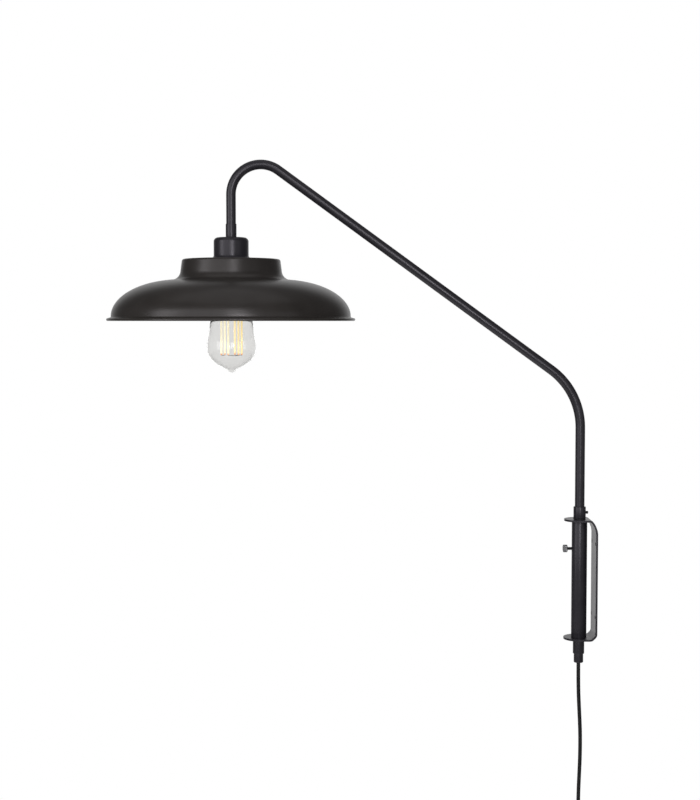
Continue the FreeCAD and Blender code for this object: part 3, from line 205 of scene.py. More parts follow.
def coil_points(turns):
    """Places on the coil about its centre. Each layer is a flat spiral, in and out by turns. The
    radius moves by a pitch in a turn, and the height by a pitch in the half turn between layers."""
    turns = np.asarray(turns, float)
    layer_turns = COIL_TURNS / COIL_LAYERS
    layer = np.minimum((turns / layer_turns).astype(int), COIL_LAYERS - 1)
    part = turns / layer_turns - layer
    sweep = np.where(layer % 2, part, 1 - part)
    radius = COIL_RADIUS + COIL_PITCH * layer_turns * (sweep - 0.5)
    steps = np.arange(1, COIL_LAYERS)[:, None] * layer_turns
    climb = np.clip((turns - steps) * 2 + 0.5, 0, 1).sum(axis=0)
    angle = COIL_START + 2 * np.pi * turns
    return np.stack([-COIL_PITCH * climb, -radius * np.sin(angle), radius * np.cos(angle)], axis=-1)


def unit(ways):
    """Directions of the length one."""
    return ways / np.linalg.norm(ways, axis=-1, keepdims=True)


def coil_way(turns):
    """The cord's direction on the coil, from two places a short step apart."""
    return unit(np.diff(coil_points([turns, turns + SHORT_STEP]), axis=0)[0])


on_coil = coil_points(np.linspace(0, COIL_TURNS, COIL_POINTS))
in_way, out_way = coil_way(0.0), coil_way(COIL_TURNS - SHORT_STEP)
hang = np.vstack([CORD_EXIT + HANG_POINTS, CORD_EXIT + HANG_POINTS[-1] + in_way * COIL_RUN])
coil_centre = hang[-1] + in_way * COIL_LEAD - on_coil[0]
coil_turns = coil_centre + on_coil / (1, CURVE_SHARE, CURVE_SHARE)
coil_end = coil_centre + on_coil[-1] + out_way * COIL_LEAD
tail_corner = coil_end + out_way * COIL_RUN
tail = np.vstack([coil_end, tail_corner, tail_corner - np.array([0, 0, COIL_RUN])])
switch_foot = tail[-1] - np.array([0, 0, SWITCH_LONG])
route = np.vstack([hang, coil_turns, tail, switch_foot, switch_foot + PLUG_POINTS])
plug_top = route[-1]

curve = bpy.data.curves.new("cord", "CURVE")
curve.dimensions = "3D"
line = curve.splines.new("NURBS")
line.points.add(len(route) - 1)
line.points.foreach_set("co", np.hstack([route, np.ones((len(route), 1))]).ravel())
line.order_u = 3
line.use_endpoint_u = True
curve.bevel_depth = CORD_THICK / 2
curve.bevel_resolution = 6
curve.resolution_u = 6
curve.use_fill_caps = True
cord = placed("cord", curve)


def new_material(name, constants, varying):
    """A material of one Principled surface: constants on its own sockets, and the links that
    varying gives, by the name of the socket, from the places on the piece in metres."""
    material = bpy.data.materials.new(name)
    material.use_nodes = True
    nodes = material.node_tree
    skin = nodes.nodes["Principled BSDF"]
    for socket, value in constants.items():
        skin.inputs[socket].default_value = value
    place = Wire(nodes).node("ShaderNodeTexCoord", {}, {}, "Object")
    for socket, wire in varying(place).items():
        nodes.links.new(wire.socket, skin.inputs[socket])
    return material


def noise(place, scale, detail=2.0):
    """Cloudy noise with so many waves to the metre."""
    return place.node("ShaderNodeTexNoise", {}, {"Vector": place, "Scale": scale, "Detail": detail})


def between(amount, low, high):
    """A colour that goes from low to high with the amount. Each end is a colour or a wire."""
    low, high = (end if isinstance(end, Wire) else (*end, 1.0) for end in (low, high))
    return amount.node("ShaderNodeMix", {"data_type": "RGBA"},
                       {"Factor": amount, 6: low, 7: high}, 2)


def bumped(height, distance, strength):
    """The surface's direction over a relief whose full height is the distance, in metres."""
    return height.node("ShaderNodeBump", {}, {"Height": height, "Distance": distance,
                                              "Strength": strength})


def cord_skin(place):
    dust = noise(place, 260.0, 3.0)
    grain = noise(place, 2600.0)
    return {"Base Color": between(dust.limited(0.35, 0.75), (0.0040, 0.0040, 0.0045),
                                  (0.0085, 0.0080, 0.0085)),
            "Roughness": 0.36 + 0.16 * dust,
            "Normal": bumped(grain + 0.6 * noise(place, 420.0), 0.00006, 0.35)}


cord_sheath = new_material("cord_sheath", {"IOR": 1.5, "Specular IOR Level": 0.35}, cord_skin)
curve.materials.append(cord_sheath)

# ---- The coil's tie ----
# A strap of black woven tape, 9 mm wide, closed round all the turns of the coil at one side. It
# holds the spare cord together.

TIE_TURN = math.radians(78)
TIE_WIDE = 0.009
TIE_THICK = 0.0012
TIE_GAP = 0.0004


def rounded(corners, breaks, steps=5):
    """A closed outline whose corners are arcs. Each arc is the rational parabola between two points
    set back from the corner by its break, weighted by the sine of half the corner's angle."""
    corners = np.array(corners, float)
    back = np.broadcast_to(np.asarray(breaks, float), len(corners))[:, None, None]
    before = unit(np.roll(corners, 1, axis=0) - corners)
    after = unit(np.roll(corners, -1, axis=0) - corners)
    weight = np.sqrt((1 - (before * after).sum(axis=1)) / 2)[:, None, None]
    t = np.linspace(0, 1, steps)[None, :, None]
    middle = corners[:, None]
    start = middle + before[:, None] * back
    end = middle + after[:, None] * back
    shares = (1 - t) ** 2, 2 * weight * t * (1 - t), t ** 2
    points = (shares[0] * start + shares[1] * middle + shares[2] * end) / sum(shares)
    return points.reshape(-1, 2)


def shaped(name, mesh, near, change, sharp):
    """The piece of a mesh: points merged that are nearer than a distance, a change made to the
    rest, and edges sharp past an angle."""
    work = bmesh.new()
    work.from_mesh(mesh)
    bmesh.ops.remove_doubles(work, verts=work.verts, dist=near)
    change(work)
    work.to_mesh(mesh)
    work.free()
    mesh.shade_smooth()
    mesh.set_sharp_from_angle(angle=math.radians(sharp))
    return placed(name, mesh)


def outwards(work):
    bmesh.ops.recalc_face_normals(work, faces=work.faces)


def grid(name, points, wrap=True, sharp=38):
    """A closed mesh on one or more grids of points. Each face joins a point to its next in the row,
    the next in both and the next in the column. Rows close on themselves, and columns with wrap."""
    index = np.arange(points.size // 3).reshape(points.shape[:-1])
    beside = np.roll(index, -1, axis=-1)
    after, across = np.roll(index, -1, axis=-2), np.roll(beside, -1, axis=-2)
    faces = np.stack([index, beside, across, after], axis=-1)
    if not wrap:
        faces = faces[..., :-1, :, :]
    mesh = bpy.data.meshes.new(name)
    mesh.from_pydata(points.reshape(-1, 3).tolist(), [], faces.reshape(-1, 4).tolist())
    return shaped(name, mesh, 2e-6, outwards, sharp)


def fitted(piece, body, nodes, material):
    """A finished piece with its material, on its body, in place of the nodes it stands for."""
    piece.data.materials.append(material)
    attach(piece, body)
    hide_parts(*nodes)
    return piece


def tie_strap():
    """A loop of tape: a rounded rectangle round the bundle, in the coil's own upright and level
    directions there. Its section is a rounded strip that lies along the coil."""
    half_x = COIL_PITCH * (COIL_LAYERS - 1) / 2 + CORD_THICK / 2 + TIE_GAP
    half_y = COIL_PITCH * COIL_TURNS / COIL_LAYERS / 2 + CORD_THICK / 2 + TIE_GAP
    corners = np.array([(-half_x, -half_y), (half_x, -half_y), (half_x, half_y), (-half_x, half_y)])
    grown = corners * (1 + TIE_THICK / np.array([half_x, half_y]))
    inner = rounded(corners, CORD_THICK / 2, 9)
    outer = rounded(grown, CORD_THICK / 2 + TIE_THICK, 9)
    half = TIE_WIDE / 2
    section = rounded([(0, -half), (1, -half), (1, half), (0, half)], 0.0003, 3)
    share = section[:, :1, None]
    loop = inner * (1 - share) + outer * share
    outward = np.array([0, -math.sin(TIE_TURN), math.cos(TIE_TURN)])
    along = np.array([0, -math.cos(TIE_TURN), -math.sin(TIE_TURN)])
    middle = coil_centre + outward * COIL_RADIUS
    middle[0] -= COIL_PITCH * (COIL_LAYERS - 1) / 2
    return middle + loop @ np.array([(1, 0, 0), outward]) + section[:, 1:, None] * along


def tape_skin(place):
    threads = place.node("ShaderNodeTexWave", {"bands_direction": "X"},
                         {"Vector": place, "Scale": 620.0, "Distortion": 1.2})
    fuzz = noise(place, 1500.0, 4.0)
    return {"Base Color": between(fuzz, (0.012, 0.012, 0.013), (0.040, 0.039, 0.042)),
            "Roughness": 0.75 + 0.15 * fuzz,
            "Normal": bumped(threads + fuzz, 0.00025, 0.6)}


tie_tape = new_material("tie_tape", {"Sheen Weight": 0.15, "Sheen Roughness": 0.5}, tape_skin)
tie = fitted(grid("tie", tie_strap()), "bracket", ["cord_tie"], tie_tape)

# ---- The switch on the cord ----
# Two moulded half shells with a parting line all round, closed on the cord between two ribbed
# rubber sleeves. The rocker sits in a window in the front half and tips on its pin.

SWITCH_EDGE = 0.00035
ROCKER_EDGE = 0.0005
BOOT_LONG = 0.02
BOOT_ROOT = 0.00475
BOOT_TIP = 0.0036
BOOT_BORE = 0.00262
BOOT_GROOVES = 5


def flat_joined(work):
    bmesh.ops.dissolve_limit(work, angle_limit=math.radians(0.6), verts=work.verts,
                             edges=work.edges)


def dressed(name, node, edge, segments=2, sharp=30):
    """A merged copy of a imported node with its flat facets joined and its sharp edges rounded."""
    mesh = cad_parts[node].data.copy()
    mesh.materials.clear()
    piece = shaped(name, mesh, 1e-6, flat_joined, sharp)
    if edge:
        soften = piece.modifiers.new("edge", "BEVEL")
        soften.width = edge
        soften.segments = segments
        soften.limit_method = "ANGLE"
        soften.angle_limit = math.radians(sharp + 5)
        soften.harden_normals = True
    return piece


def lathe(name, outline, centre, sides=96, along_x=False, wave=None, sharp=38):
    """A turned piece: the outline's radius times the cosine and sine of the turn, at its height
    along the axis. A wave of the height and the turn may be added to the radius, for a thread,
    knurls or ribs. An outline that starts on the axis ends on it, and is closed by it."""
    outline = np.asarray(outline, float)
    turn = np.linspace(0, 2 * np.pi, sides, endpoint=False)
    radius, height = outline[:, :1], outline[:, 1:] + 0 * turn
    wrap = bool(radius[0, 0] > 1e-9)
    if wave:
        radius = radius + wave(outline, turn)
    points = np.stack([radius * np.cos(turn), radius * np.sin(turn), height], axis=-1)
    if along_x:
        points = points[..., [2, 0, 1]]
    return grid(name, points + np.array(centre), wrap, sharp)


def moulded(name, node, edge, body="bracket", segments=2):
    """A moulded black fitting of the cord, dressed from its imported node."""
    return fitted(dressed(name, node, edge, segments), body, [node],
                  moulded_black)


def ribbed_sleeve(name, node, centre, sign):
    """A tapered rubber sleeve, up or down the cord by its sign. Its radius falls evenly to its tip,
    less the upper half of a sine of the height, which cuts the rounded grooves."""
    height = np.linspace(0.0012, BOOT_LONG - 0.0012, 61)
    taper = BOOT_ROOT - (BOOT_ROOT - BOOT_TIP) * height / BOOT_LONG
    waves = height / BOOT_LONG * (BOOT_GROOVES + 1) - 0.25
    groove = 0.0006 * np.maximum(np.sin(2 * np.pi * waves), 0) ** 0.7
    groove *= (height > 0.002) & (height < 0.0185)
    side = np.stack([taper - groove, height], axis=1)
    root = [(BOOT_BORE, 0.0), (BOOT_ROOT - 0.00045, 0.0), (BOOT_ROOT - 0.0001, 0.0004)]
    tip = [(BOOT_TIP - 0.00015, BOOT_LONG - 0.0004), (BOOT_TIP - 0.0005, BOOT_LONG),
           (BOOT_BORE, BOOT_LONG)]
    outline = np.vstack([root, side, tip]) * np.array([1, sign])
    return fitted(lathe(name, outline, centre, 48), "bracket", [node],
                  rubber_black)


def moulded_skin(place):
    wear = noise(place, 90.0, 3.0)
    return {"Base Color": between(wear, (0.012, 0.012, 0.013), (0.020, 0.020, 0.021)),
            "Roughness": 0.34 + 0.14 * wear,
            "Normal": bumped(noise(place, 3200.0, 3.0), 0.00003, 0.4)}


def grained(name, constants, low, high, rough, spread, grain, relief=None, cloud=None):
    """A plain material. Its roughness is rough plus the spread times a noise of grain, which may
    stand out in relief. Its colour goes from low to high with a noise of cloud, or of grain."""
    def skin(place):
        fine = noise(place, *grain)
        shade = noise(place, *cloud) if cloud else fine
        links = {"Base Color": between(shade, low, high), "Roughness": rough + spread * fine}
        return {**links, "Normal": bumped(fine, *relief)} if relief else links

    return new_material(name, constants, skin)


moulded_black = new_material("moulded_black", {"IOR": 1.5}, moulded_skin)
rubber_black = grained("rubber_black", {"IOR": 1.5, "Specular IOR Level": 0.4},
                       (0.012, 0.012, 0.012), (0.024, 0.023, 0.023), 0.52, 0.16, (2200.0, 3.0),
                       (0.00003, 0.5))
switch_back = moulded("switch_back", "switch_base", SWITCH_EDGE)
switch_front = moulded("switch_front", "switch_cover", SWITCH_EDGE)
rocker = moulded("rocker", "switch_rocker", ROCKER_EDGE, "rocker", 3)
sleeve_above = ribbed_sleeve("switch_sleeve_above", "switch_boot_top", tail[-1], 1)
sleeve_below = ribbed_sleeve("switch_sleeve_below", "switch_boot_foot", switch_foot, -1)

# ---- The plug ----
# A flat two-pin plug moulded on the cord's end. The pins are nickel-plated brass with a black
# plastic collar on the half next to the body.

PLUG_LONG = 0.036
PIN_COLLAR = 0.0095


def pin_skin(place):
    """Nickel below the collar's end and black plastic above it, by the height."""
    face = float(plug_top[2]) - PLUG_LONG
    metal = (face - PIN_COLLAR - place.part("Z")).limited(-0.00015, 0.00015)
    scratch = noise(place, 1800.0, 3.0)
    nickel = between(scratch, (0.60, 0.58, 0.54), (0.74, 0.72, 0.68))
    return {"Base Color": between(metal, (0.013, 0.013, 0.014), nickel), "Metallic": metal,
            "Roughness": 0.42 - 0.16 * metal + 0.1 * scratch}


plug_pin_metal = new_material("plug_pin_metal", {}, pin_skin)
plug = moulded("plug", "plug_body", 0.0)
pins = fitted(dressed("pins", "plug_pins", 0.0), "bracket", ["plug_pins"],
              plug_pin_metal)
sleeve_plug = ribbed_sleeve("plug_sleeve", "plug_boot", plug_top, 1)

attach(cord, "bracket")
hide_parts("hanging_cord", "cord_coil", "cord_tail", "plug_tail")

# ---- The wall bracket ----
# One flat steel strip, 40 by 2.5 mm, bent to a C. Its ears are rounded and bored for the arm's
# spindle, and its back has four screw holes. It has a fine black powder coat, as the arm has.

EAR_TOP = 0.079
STRIP_THICK = 0.0025
STRIP_EDGE = 0.0004
BEND_OUTSIDE = 0.010


def powder_skin(place):
    """A baked powder coat: soft clouds in the colour, and the fine dimples of its flow."""
    cloud = noise(place, 34.0, 3.0)
    dimple = noise(place, 1500.0)
    return {"Base Color": between(cloud.limited(0.3, 0.7), (0.0145, 0.0136, 0.0168),
                                  (0.0205, 0.0192, 0.0232)),
            "Roughness": 0.28 + 0.06 * cloud + 0.04 * dimple,
            "Normal": bumped(dimple, 0.000035, 0.1)}


def left_of(line):
    """The directions to the left of a line of places, square to its slope."""
    way = unit(np.gradient(line, axis=0))
    return np.stack([-way[:, 1], way[:, 0]], axis=1)


def bent_line(corners, breaks):
    """The outer line of one bend, from the ear to the plate, as places and outward directions at
    even steps: straight runs between the corners, with an arc at each. Three corners away from
    the bend close the outline, and their arcs are left out."""
    closed = [(-0.020, 0), *corners, (0, -0.030), (-0.020, -0.030)]
    arcs = rounded(closed, [0.001, *breaks, 0.001, 0.001], 9)[9:-18]
    line = np.vstack([[(-BEND_OUTSIDE, 0)], arcs])
    gone = np.concatenate([[0], np.cumsum(np.linalg.norm(np.diff(line, axis=0), axis=1))])
    share = np.linspace(0, 1, 61)
    places = np.stack([np.interp(share * gone[-1], gone, line[:, side]) for side in (0, 1)], axis=1)
    return share, places, left_of(places)


def hand_bent(piece, side, corners, breaks):
    """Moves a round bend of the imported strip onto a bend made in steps. A place on the round bend
    keeps its depth under the outer face, and its turn becomes its share of the new line."""
    share, line, out = bent_line(corners, breaks)
    centre = np.array([-BEND_OUTSIDE, EAR_TOP - BEND_OUTSIDE])
    for vertex in piece.data.vertices:
        apart = np.array([vertex.co.x, vertex.co.z * side]) - centre
        if apart.min() > -1e-6:
            turn = 1 - math.atan2(apart[1], apart[0]) / (math.pi / 2)
            under = line - (BEND_OUTSIDE - np.linalg.norm(apart)) * out
            vertex.co.x = np.interp(turn, share, under[:, 0])
            vertex.co.z = (np.interp(turn, share, under[:, 1]) + EAR_TOP) * side


powder_coat = new_material("powder_coat", {"IOR": 1.5, "Specular Tint": (0.95, 0.91, 1.0, 1.0)},
                           powder_skin)
strip = dressed("bracket_strip", "wall_bracket", STRIP_EDGE)
hand_bent(strip, 1, [(-0.0078, 0), (-0.0034, -0.0058), (0, -0.0150)], [0.0020, 0.0030, 0.0040])
hand_bent(strip, -1, [(-0.0064, 0), (0, -0.0064)], [0.0030, 0.0030])
fitted(strip, "bracket", ["wall_bracket"], powder_coat)

# ---- The pivot: sleeve, bearings and washers ----
# A steel sleeve stands between the ears with a plain plastic bearing pressed in at each end. The
# arm's tube turns in them, on thrust washers at the two ears.

SPINDLE_X = -0.0213
SPINDLE = (SPINDLE_X, 0, 0)
SEAT_GAP = 0.00002
EAR_INSIDE = EAR_TOP - STRIP_THICK - SEAT_GAP
SLEEVE_R = 0.010
SLEEVE_BORE = 0.008
WASHER_THICK = 0.0008
WASHER_BORE = 0.00629


def sleeve_outline(inner, outer, foot, top, edge):
    """The outline of a plain ring: bore, outside, foot and top, with its corners broken."""
    return rounded([(inner, foot), (outer, foot), (outer, top), (inner, top)], edge, 4)


def painted(nodes, material):
    """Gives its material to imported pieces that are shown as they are."""
    for node in nodes:
        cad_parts[node].material_slots[0].material = material


bearing_plastic = grained("bearing_plastic", {"IOR": 1.5}, (0.52, 0.50, 0.46), (0.62, 0.60, 0.56),
                          0.42, 0.12, (900.0, 2.0), (0.00002, 0.3))
# Blackened steel. On the washers its near black also stands for painted shade.
blackened_steel_and_painted_shade = grained("blackened_steel_and_painted_shade", {"Metallic": 0.6}, (0.018, 0.018, 0.020),
                          (0.045, 0.044, 0.046), 0.42, 0.15, (1300.0, 3.0))
plated_steel = grained("plated_steel", {"Metallic": 1.0}, (0.30, 0.30, 0.31), (0.44, 0.44, 0.45),
                       0.34, 0.16, (2400.0, 4.0), (0.00002, 0.35), (160.0, 2.0))
fitted(lathe("sleeve", sleeve_outline(SLEEVE_BORE, SLEEVE_R, -EAR_INSIDE, EAR_INSIDE, 0.0004),
             SPINDLE, 128), "bracket", ["pivot_sleeve"], powder_coat)
painted(["upper_bush", "lower_bush"], bearing_plastic)
# The washers are near black. This paints the dark shade line where each collar meets its ear.
for name, radius, foot in (("upper_washer", 0.008, EAR_TOP),
                           ("lower_washer", 0.0074, -EAR_TOP - WASHER_THICK)):
    ring = sleeve_outline(WASHER_BORE, radius, foot, foot + WASHER_THICK, 0.0002)
    fitted(lathe(name + "_ring", ring, SPINDLE), "bracket", [name], blackened_steel_and_painted_shade)

# ---- The thumb screw ----
# It goes through the sleeve and holds the arm where it is set. The shank is blackened and cut with
# a fine thread, and the knurled head is turned from plated steel and pressed on its end.

THUMB_HEIGHT = 0.040
SHANK_R = 0.002
SHANK_OUT = -0.0178
SHANK_IN = -0.00635
THREAD_PITCH = 0.0007
THREAD_DEEP = 0.00028
KNURLS = 22
KNURL_DEEP = 0.00035


def thread(outline, turn, pitch, foot, top, fade):
    """The share of a thread's depth: a half plus half the cosine of the height in pitches less the
    turn. It fades out over a short height above the foot and under the top."""
    height = outline[:, 1:]
    phase = height / pitch - turn / (2 * np.pi)
    ends = np.minimum(height - foot, top - height)
    return (0.5 + 0.5 * np.cos(2 * np.pi * phase)) * np.clip(ends / fade, 0, 1)


def straight(radius, start, end, count):
    """Evenly spaced places of an outline at one radius, from one height to another."""
    return np.stack([np.full(count, radius), np.linspace(start, end, count)], axis=1)


def shank_wave(outline, turn):
    """The bar's thread, cut inwards all along its side."""
    cut = thread(outline, turn, THREAD_PITCH, SHANK_OUT, SHANK_IN, THREAD_PITCH)
    return -THREAD_DEEP * cut * (outline[:, :1] > SHANK_R / 2)


def head_outline():
    """A head 10 mm across: a shallow dished face, a chamfer, the knurled band and a foot."""
    face, foot, radius = -0.0213, -0.0158, 0.005
    dish = [(0, face + 0.0003), (0.0028, face + 0.0003), (0.0031, face), (radius - 0.0007, face)]
    band = straight(radius, face + 0.0006, foot - 0.0006, 14)
    back = [(radius - 0.0007, foot), (0.0026, foot), (0.00204, foot - 0.0002), (0, foot - 0.0002)]
    return np.vstack([dish, band, back])


def knurls(outline, turn):
    """Straight knurls: a V-shaped wave round the band that is nothing off the band."""
    vee = np.abs(np.mod(turn * KNURLS / (2 * np.pi), 1) * 2 - 1)
    return -KNURL_DEEP * vee ** 1.5 * (outline[:, :1] > 0.0049)


def rings_about(place, keep, shift, scale):
    """Rings about an axis, from a noise of the distance to it. The place is flattened along the
    axis by keep, and then moved onto it by shift."""
    flat = place.node("ShaderNodeVectorMath", {"operation": "MULTIPLY_ADD"},
                      {0: place, 1: keep, 2: shift})
    reach = flat.node("ShaderNodeVectorMath", {"operation": "LENGTH"}, {0: flat}, "Value")
    return reach.node("ShaderNodeTexNoise", {"noise_dimensions": "1D"},
                      {"W": reach, "Scale": scale})


def turned_skin(place):
    """Turned steel: fine rings about the head's own axis, on soft clouds."""
    rings = rings_about(place, (0.0, 1.0, 1.0), (0.0, 0.0, -THUMB_HEIGHT), 5200.0)
    cloud = noise(place, 600.0)
    return {"Base Color": between(cloud, (0.20, 0.20, 0.21), (0.32, 0.32, 0.33)),
            "Roughness": 0.36 + 0.14 * rings, "Normal": bumped(rings, 0.00003, 0.5)}


turned_steel = new_material("turned_steel", {"Metallic": 1.0}, turned_skin)
thumb = (SPINDLE_X, 0, THUMB_HEIGHT)
shank_side = straight(SHANK_R, SHANK_OUT, SHANK_IN, 150)
shank_outline = np.vstack([[(0, SHANK_OUT)], shank_side, [(0, SHANK_IN)]])
fitted(lathe("thumb_shank", shank_outline, thumb, 40, True, shank_wave), "thumb_screw",
       ["thumb_screw_shank"], blackened_steel_and_painted_shade)
fitted(lathe("thumb_head", head_outline(), thumb, KNURLS * 8, True, knurls), "thumb_screw",
       ["thumb_screw_head"], turned_steel)

# ---- The arm's tube ----
# One steel tube, 12.5 mm across, bent twice: the elbow above the bracket and the hook over the
# shade. It turns in the sleeve and carries the cord inside it.

TUBE_R = 0.00625
TUBE_FIT = 0.00627
TUBE_WALL = 0.00125
TUBE_FOOT = -0.0919
ELBOW_Z = 0.2456
ELBOW_R = 0.0935
HOOK_R = 0.0385
SLOPE = math.radians(36.05)
LAMP_X = -0.4748
LAMP = (LAMP_X, 0, 0)
HEAD_TOP = 0.4623
TUBE_END = HEAD_TOP - 0.008


def arc(centre, reach, start, end, count):
    """Places on an arc: the centre plus the reach times the cosine and sine of the angle."""
    angle = np.linspace(start, end, count)[:, None]
    return centre + reach * np.hstack([np.cos(angle), np.sin(angle)])


def arm_line():
    """The tube's centre line and its outward directions: upright, an arc round the elbow's centre,
    the slope, an arc round the hook's centre, and down."""
    crown_z = ELBOW_Z + (SPINDLE_X - LAMP_X) * math.tan(SLOPE)
    elbow_cut = ELBOW_R * math.tan((math.pi / 2 - SLOPE) / 2)
    hook_cut = HOOK_R * math.tan((math.pi / 2 + SLOPE) / 2)
    first, second = (0, math.pi / 2 - SLOPE, 33), (math.pi / 2 - SLOPE, math.pi, 49)
    elbow = arc((SPINDLE_X - ELBOW_R, ELBOW_Z - elbow_cut), ELBOW_R, *first)
    hook = arc((LAMP_X + HOOK_R, crown_z - hook_cut), HOOK_R, *second)
    ways = np.concatenate([[0, 0], np.linspace(*first), np.linspace(*second), [math.pi, math.pi]])
    upright = [(SPINDLE_X, TUBE_FOOT), (SPINDLE_X, 0.12)]
    leg = [(LAMP_X, 0.48), (LAMP_X, TUBE_END)]
    return np.vstack([upright, elbow, hook, leg]), ways


def arm_surface(sides=72):
    """The tube's skin: centre plus radius times the cosine along the outward direction and the sine
    along Y, up the outside and back down the bore."""
    line, ways = arm_line()
    count = len(line)
    line = np.vstack([line[:1], line, line[-1:], line[::-1]])
    ways = np.concatenate([ways[:1], ways, ways[-1:], ways[::-1]])[:, None]
    bore = TUBE_R - TUBE_WALL
    radius = np.repeat([bore, TUBE_R, bore], [1, count, count + 1])[:, None]
    turn = np.linspace(0, 2 * np.pi, sides, endpoint=False)
    reach = radius * np.cos(turn)
    return np.stack([line[:, :1] + reach * np.cos(ways), radius * np.sin(turn),
                     line[:, 1:] + reach * np.sin(ways)], axis=-1)


fitted(grid("arm", arm_surface()), "arm", ["arm_tube"], powder_coat)
painted(["inner_flex"], cord_sheath)

# ---- The collars and the cord grip ----
# A stop collar with a set screw rides on the upper ear, and an end collar closes the tube under the
# lower ear. Screwed into it is the grip, whose rubber seal holds the cord.

COLLAR_FOOT = EAR_TOP + 0.0009
COLLAR_TOP = COLLAR_FOOT + 0.0152
COLLAR_R = 0.008
END_TOP = -EAR_TOP - 0.0009
END_FOOT = END_TOP - 0.0186
END_R = 0.0074
END_BORE = 0.00456
GRIP_FOOT = END_FOOT - 0.0118
GRIP_R = 0.00615
GRIP_BORE = 0.00265
SPIGOT_R = 0.0045

stop_outline = sleeve_outline(TUBE_FIT, COLLAR_R, COLLAR_FOOT, COLLAR_TOP, 0.0005)
end_outline = rounded([
    (END_BORE, END_FOOT), (END_R, END_FOOT), (END_R, END_TOP), (TUBE_FIT, END_TOP),
    (TUBE_FIT, TUBE_FOOT), (END_BORE, TUBE_FOOT)],
    [0.0001, 0.0008, 0.0004, 0.0001, 0.0001, 0.0001], 5)
grip_outline = rounded([
    (GRIP_BORE, GRIP_FOOT), (GRIP_R, GRIP_FOOT), (GRIP_R, END_FOOT - 0.0012),
    (0.0059, END_FOOT - 0.0009), (0.0059, END_FOOT), (SPIGOT_R, END_FOOT),
    (SPIGOT_R, END_FOOT + 0.005), (0.00372, END_FOOT + 0.005), (0.00372, GRIP_FOOT + 0.002),
    (GRIP_BORE, GRIP_FOOT + 0.002)],
    [0.0004, 0.0011, 0.0002, 0.0001, 0.0001, 0.0001, 0.0002, 0.0001, 0.0001, 0.0003], 5)
fitted(lathe("stop_ring", stop_outline, SPINDLE, 128), "arm", ["stop_collar"],
       powder_coat)
fitted(dressed("set_screw", "collar_set_screw", 0.0002), "arm", ["collar_set_screw"],
       blackened_steel_and_painted_shade)
fitted(lathe("end_ring", end_outline, SPINDLE, 128), "arm", ["end_collar"],
       powder_coat)
fitted(lathe("grip", grip_outline, SPINDLE, 128), "arm", ["grip_nut"], powder_coat)
painted(["grip_seal"], rubber_black)

# ---- The ferrule and the cup ----
# The ferrule is brazed on the tube's end, and a hollow threaded nipple screws into it. A lock nut
# on the nipple draws up the pressed steel cup that covers the lampholder and stands on the shade.

CUP_TOP = HEAD_TOP - 0.0175
CUP_FOOT = CUP_TOP - 0.028
NUT_FOOT = CUP_TOP - 0.0042
NIPPLE_FIT = 0.00506
FERRULE_R = 0.007
CUP_R = 0.0226
CUP_WALL = 0.0012
FLARE_R = 0.0247

ferrule_outline = rounded([
    (NIPPLE_FIT, CUP_TOP), (FERRULE_R, CUP_TOP), (FERRULE_R, HEAD_TOP), (TUBE_FIT, HEAD_TOP),
    (TUBE_FIT, TUBE_END), (NIPPLE_FIT, TUBE_END)],
    [0.0001, 0.0003, 0.0005, 0.0002, 0.0001, 0.0001], 5)
cup_outline = rounded([
    (NIPPLE_FIT, CUP_TOP - CUP_WALL), (CUP_R - CUP_WALL, CUP_TOP - CUP_WALL),
    (CUP_R - CUP_WALL, CUP_FOOT), (FLARE_R, CUP_FOOT), (FLARE_R, CUP_FOOT + 0.0015),
    (CUP_R, CUP_FOOT + 0.0035), (CUP_R, CUP_TOP), (NIPPLE_FIT, CUP_TOP)],
    [0.0001, 0.0043, 0.0003, 0.0002, 0.0005, 0.0012, 0.0055, 0.0001], 12)
fitted(lathe("ferrule", ferrule_outline, LAMP, 128), "arm", ["arm_ferrule"],
       powder_coat)
fitted(lathe("cup", cup_outline, LAMP, 160), "arm", ["lampholder_cup"], powder_coat)
painted(["threaded_nipple", "lock_nut"], plated_steel)

# ---- The lampholder ----
# A moulded black lampholder for a 27 mm screw cap: a skirt with a flange that rests on the shade's
# neck, an insert with two terminal screws, a rolled brass screw shell and a sprung centre contact.

CAP_PITCH = 0.003629
SKIRT_R = 0.0197
SKIRT_WALL = 0.0036
SKIRT_FOOT = NUT_FOOT - 0.055
SKIRT_BORE = SKIRT_R - SKIRT_WALL
CEILING = NUT_FOOT - SKIRT_WALL
FLANGE_R = 0.0213
FLANGE_TOP = CUP_FOOT + 0.003
WIRING_SPACE = 0.006
INSERT_THICK = 0.01876
INSERT_FOOT = NUT_FOOT - SKIRT_WALL - WIRING_SPACE - INSERT_THICK
SHELL_FOOT = INSERT_FOOT - 0.023
SHELL_TOP = INSERT_FOOT - 0.0008
SHELL_BORE = 0.0134
SHELL_WALL = 0.0004
SHELL_R = SHELL_BORE + SHELL_WALL
SHELL_FLANGE = 0.01608


def shell_thread(outline, turn):
    """The rolled thread, 0.8 mm outwards from the cap's crests so that the cap clears it."""
    return 0.0008 * thread(outline, turn, CAP_PITCH, SHELL_FOOT, SHELL_TOP, CAP_PITCH)


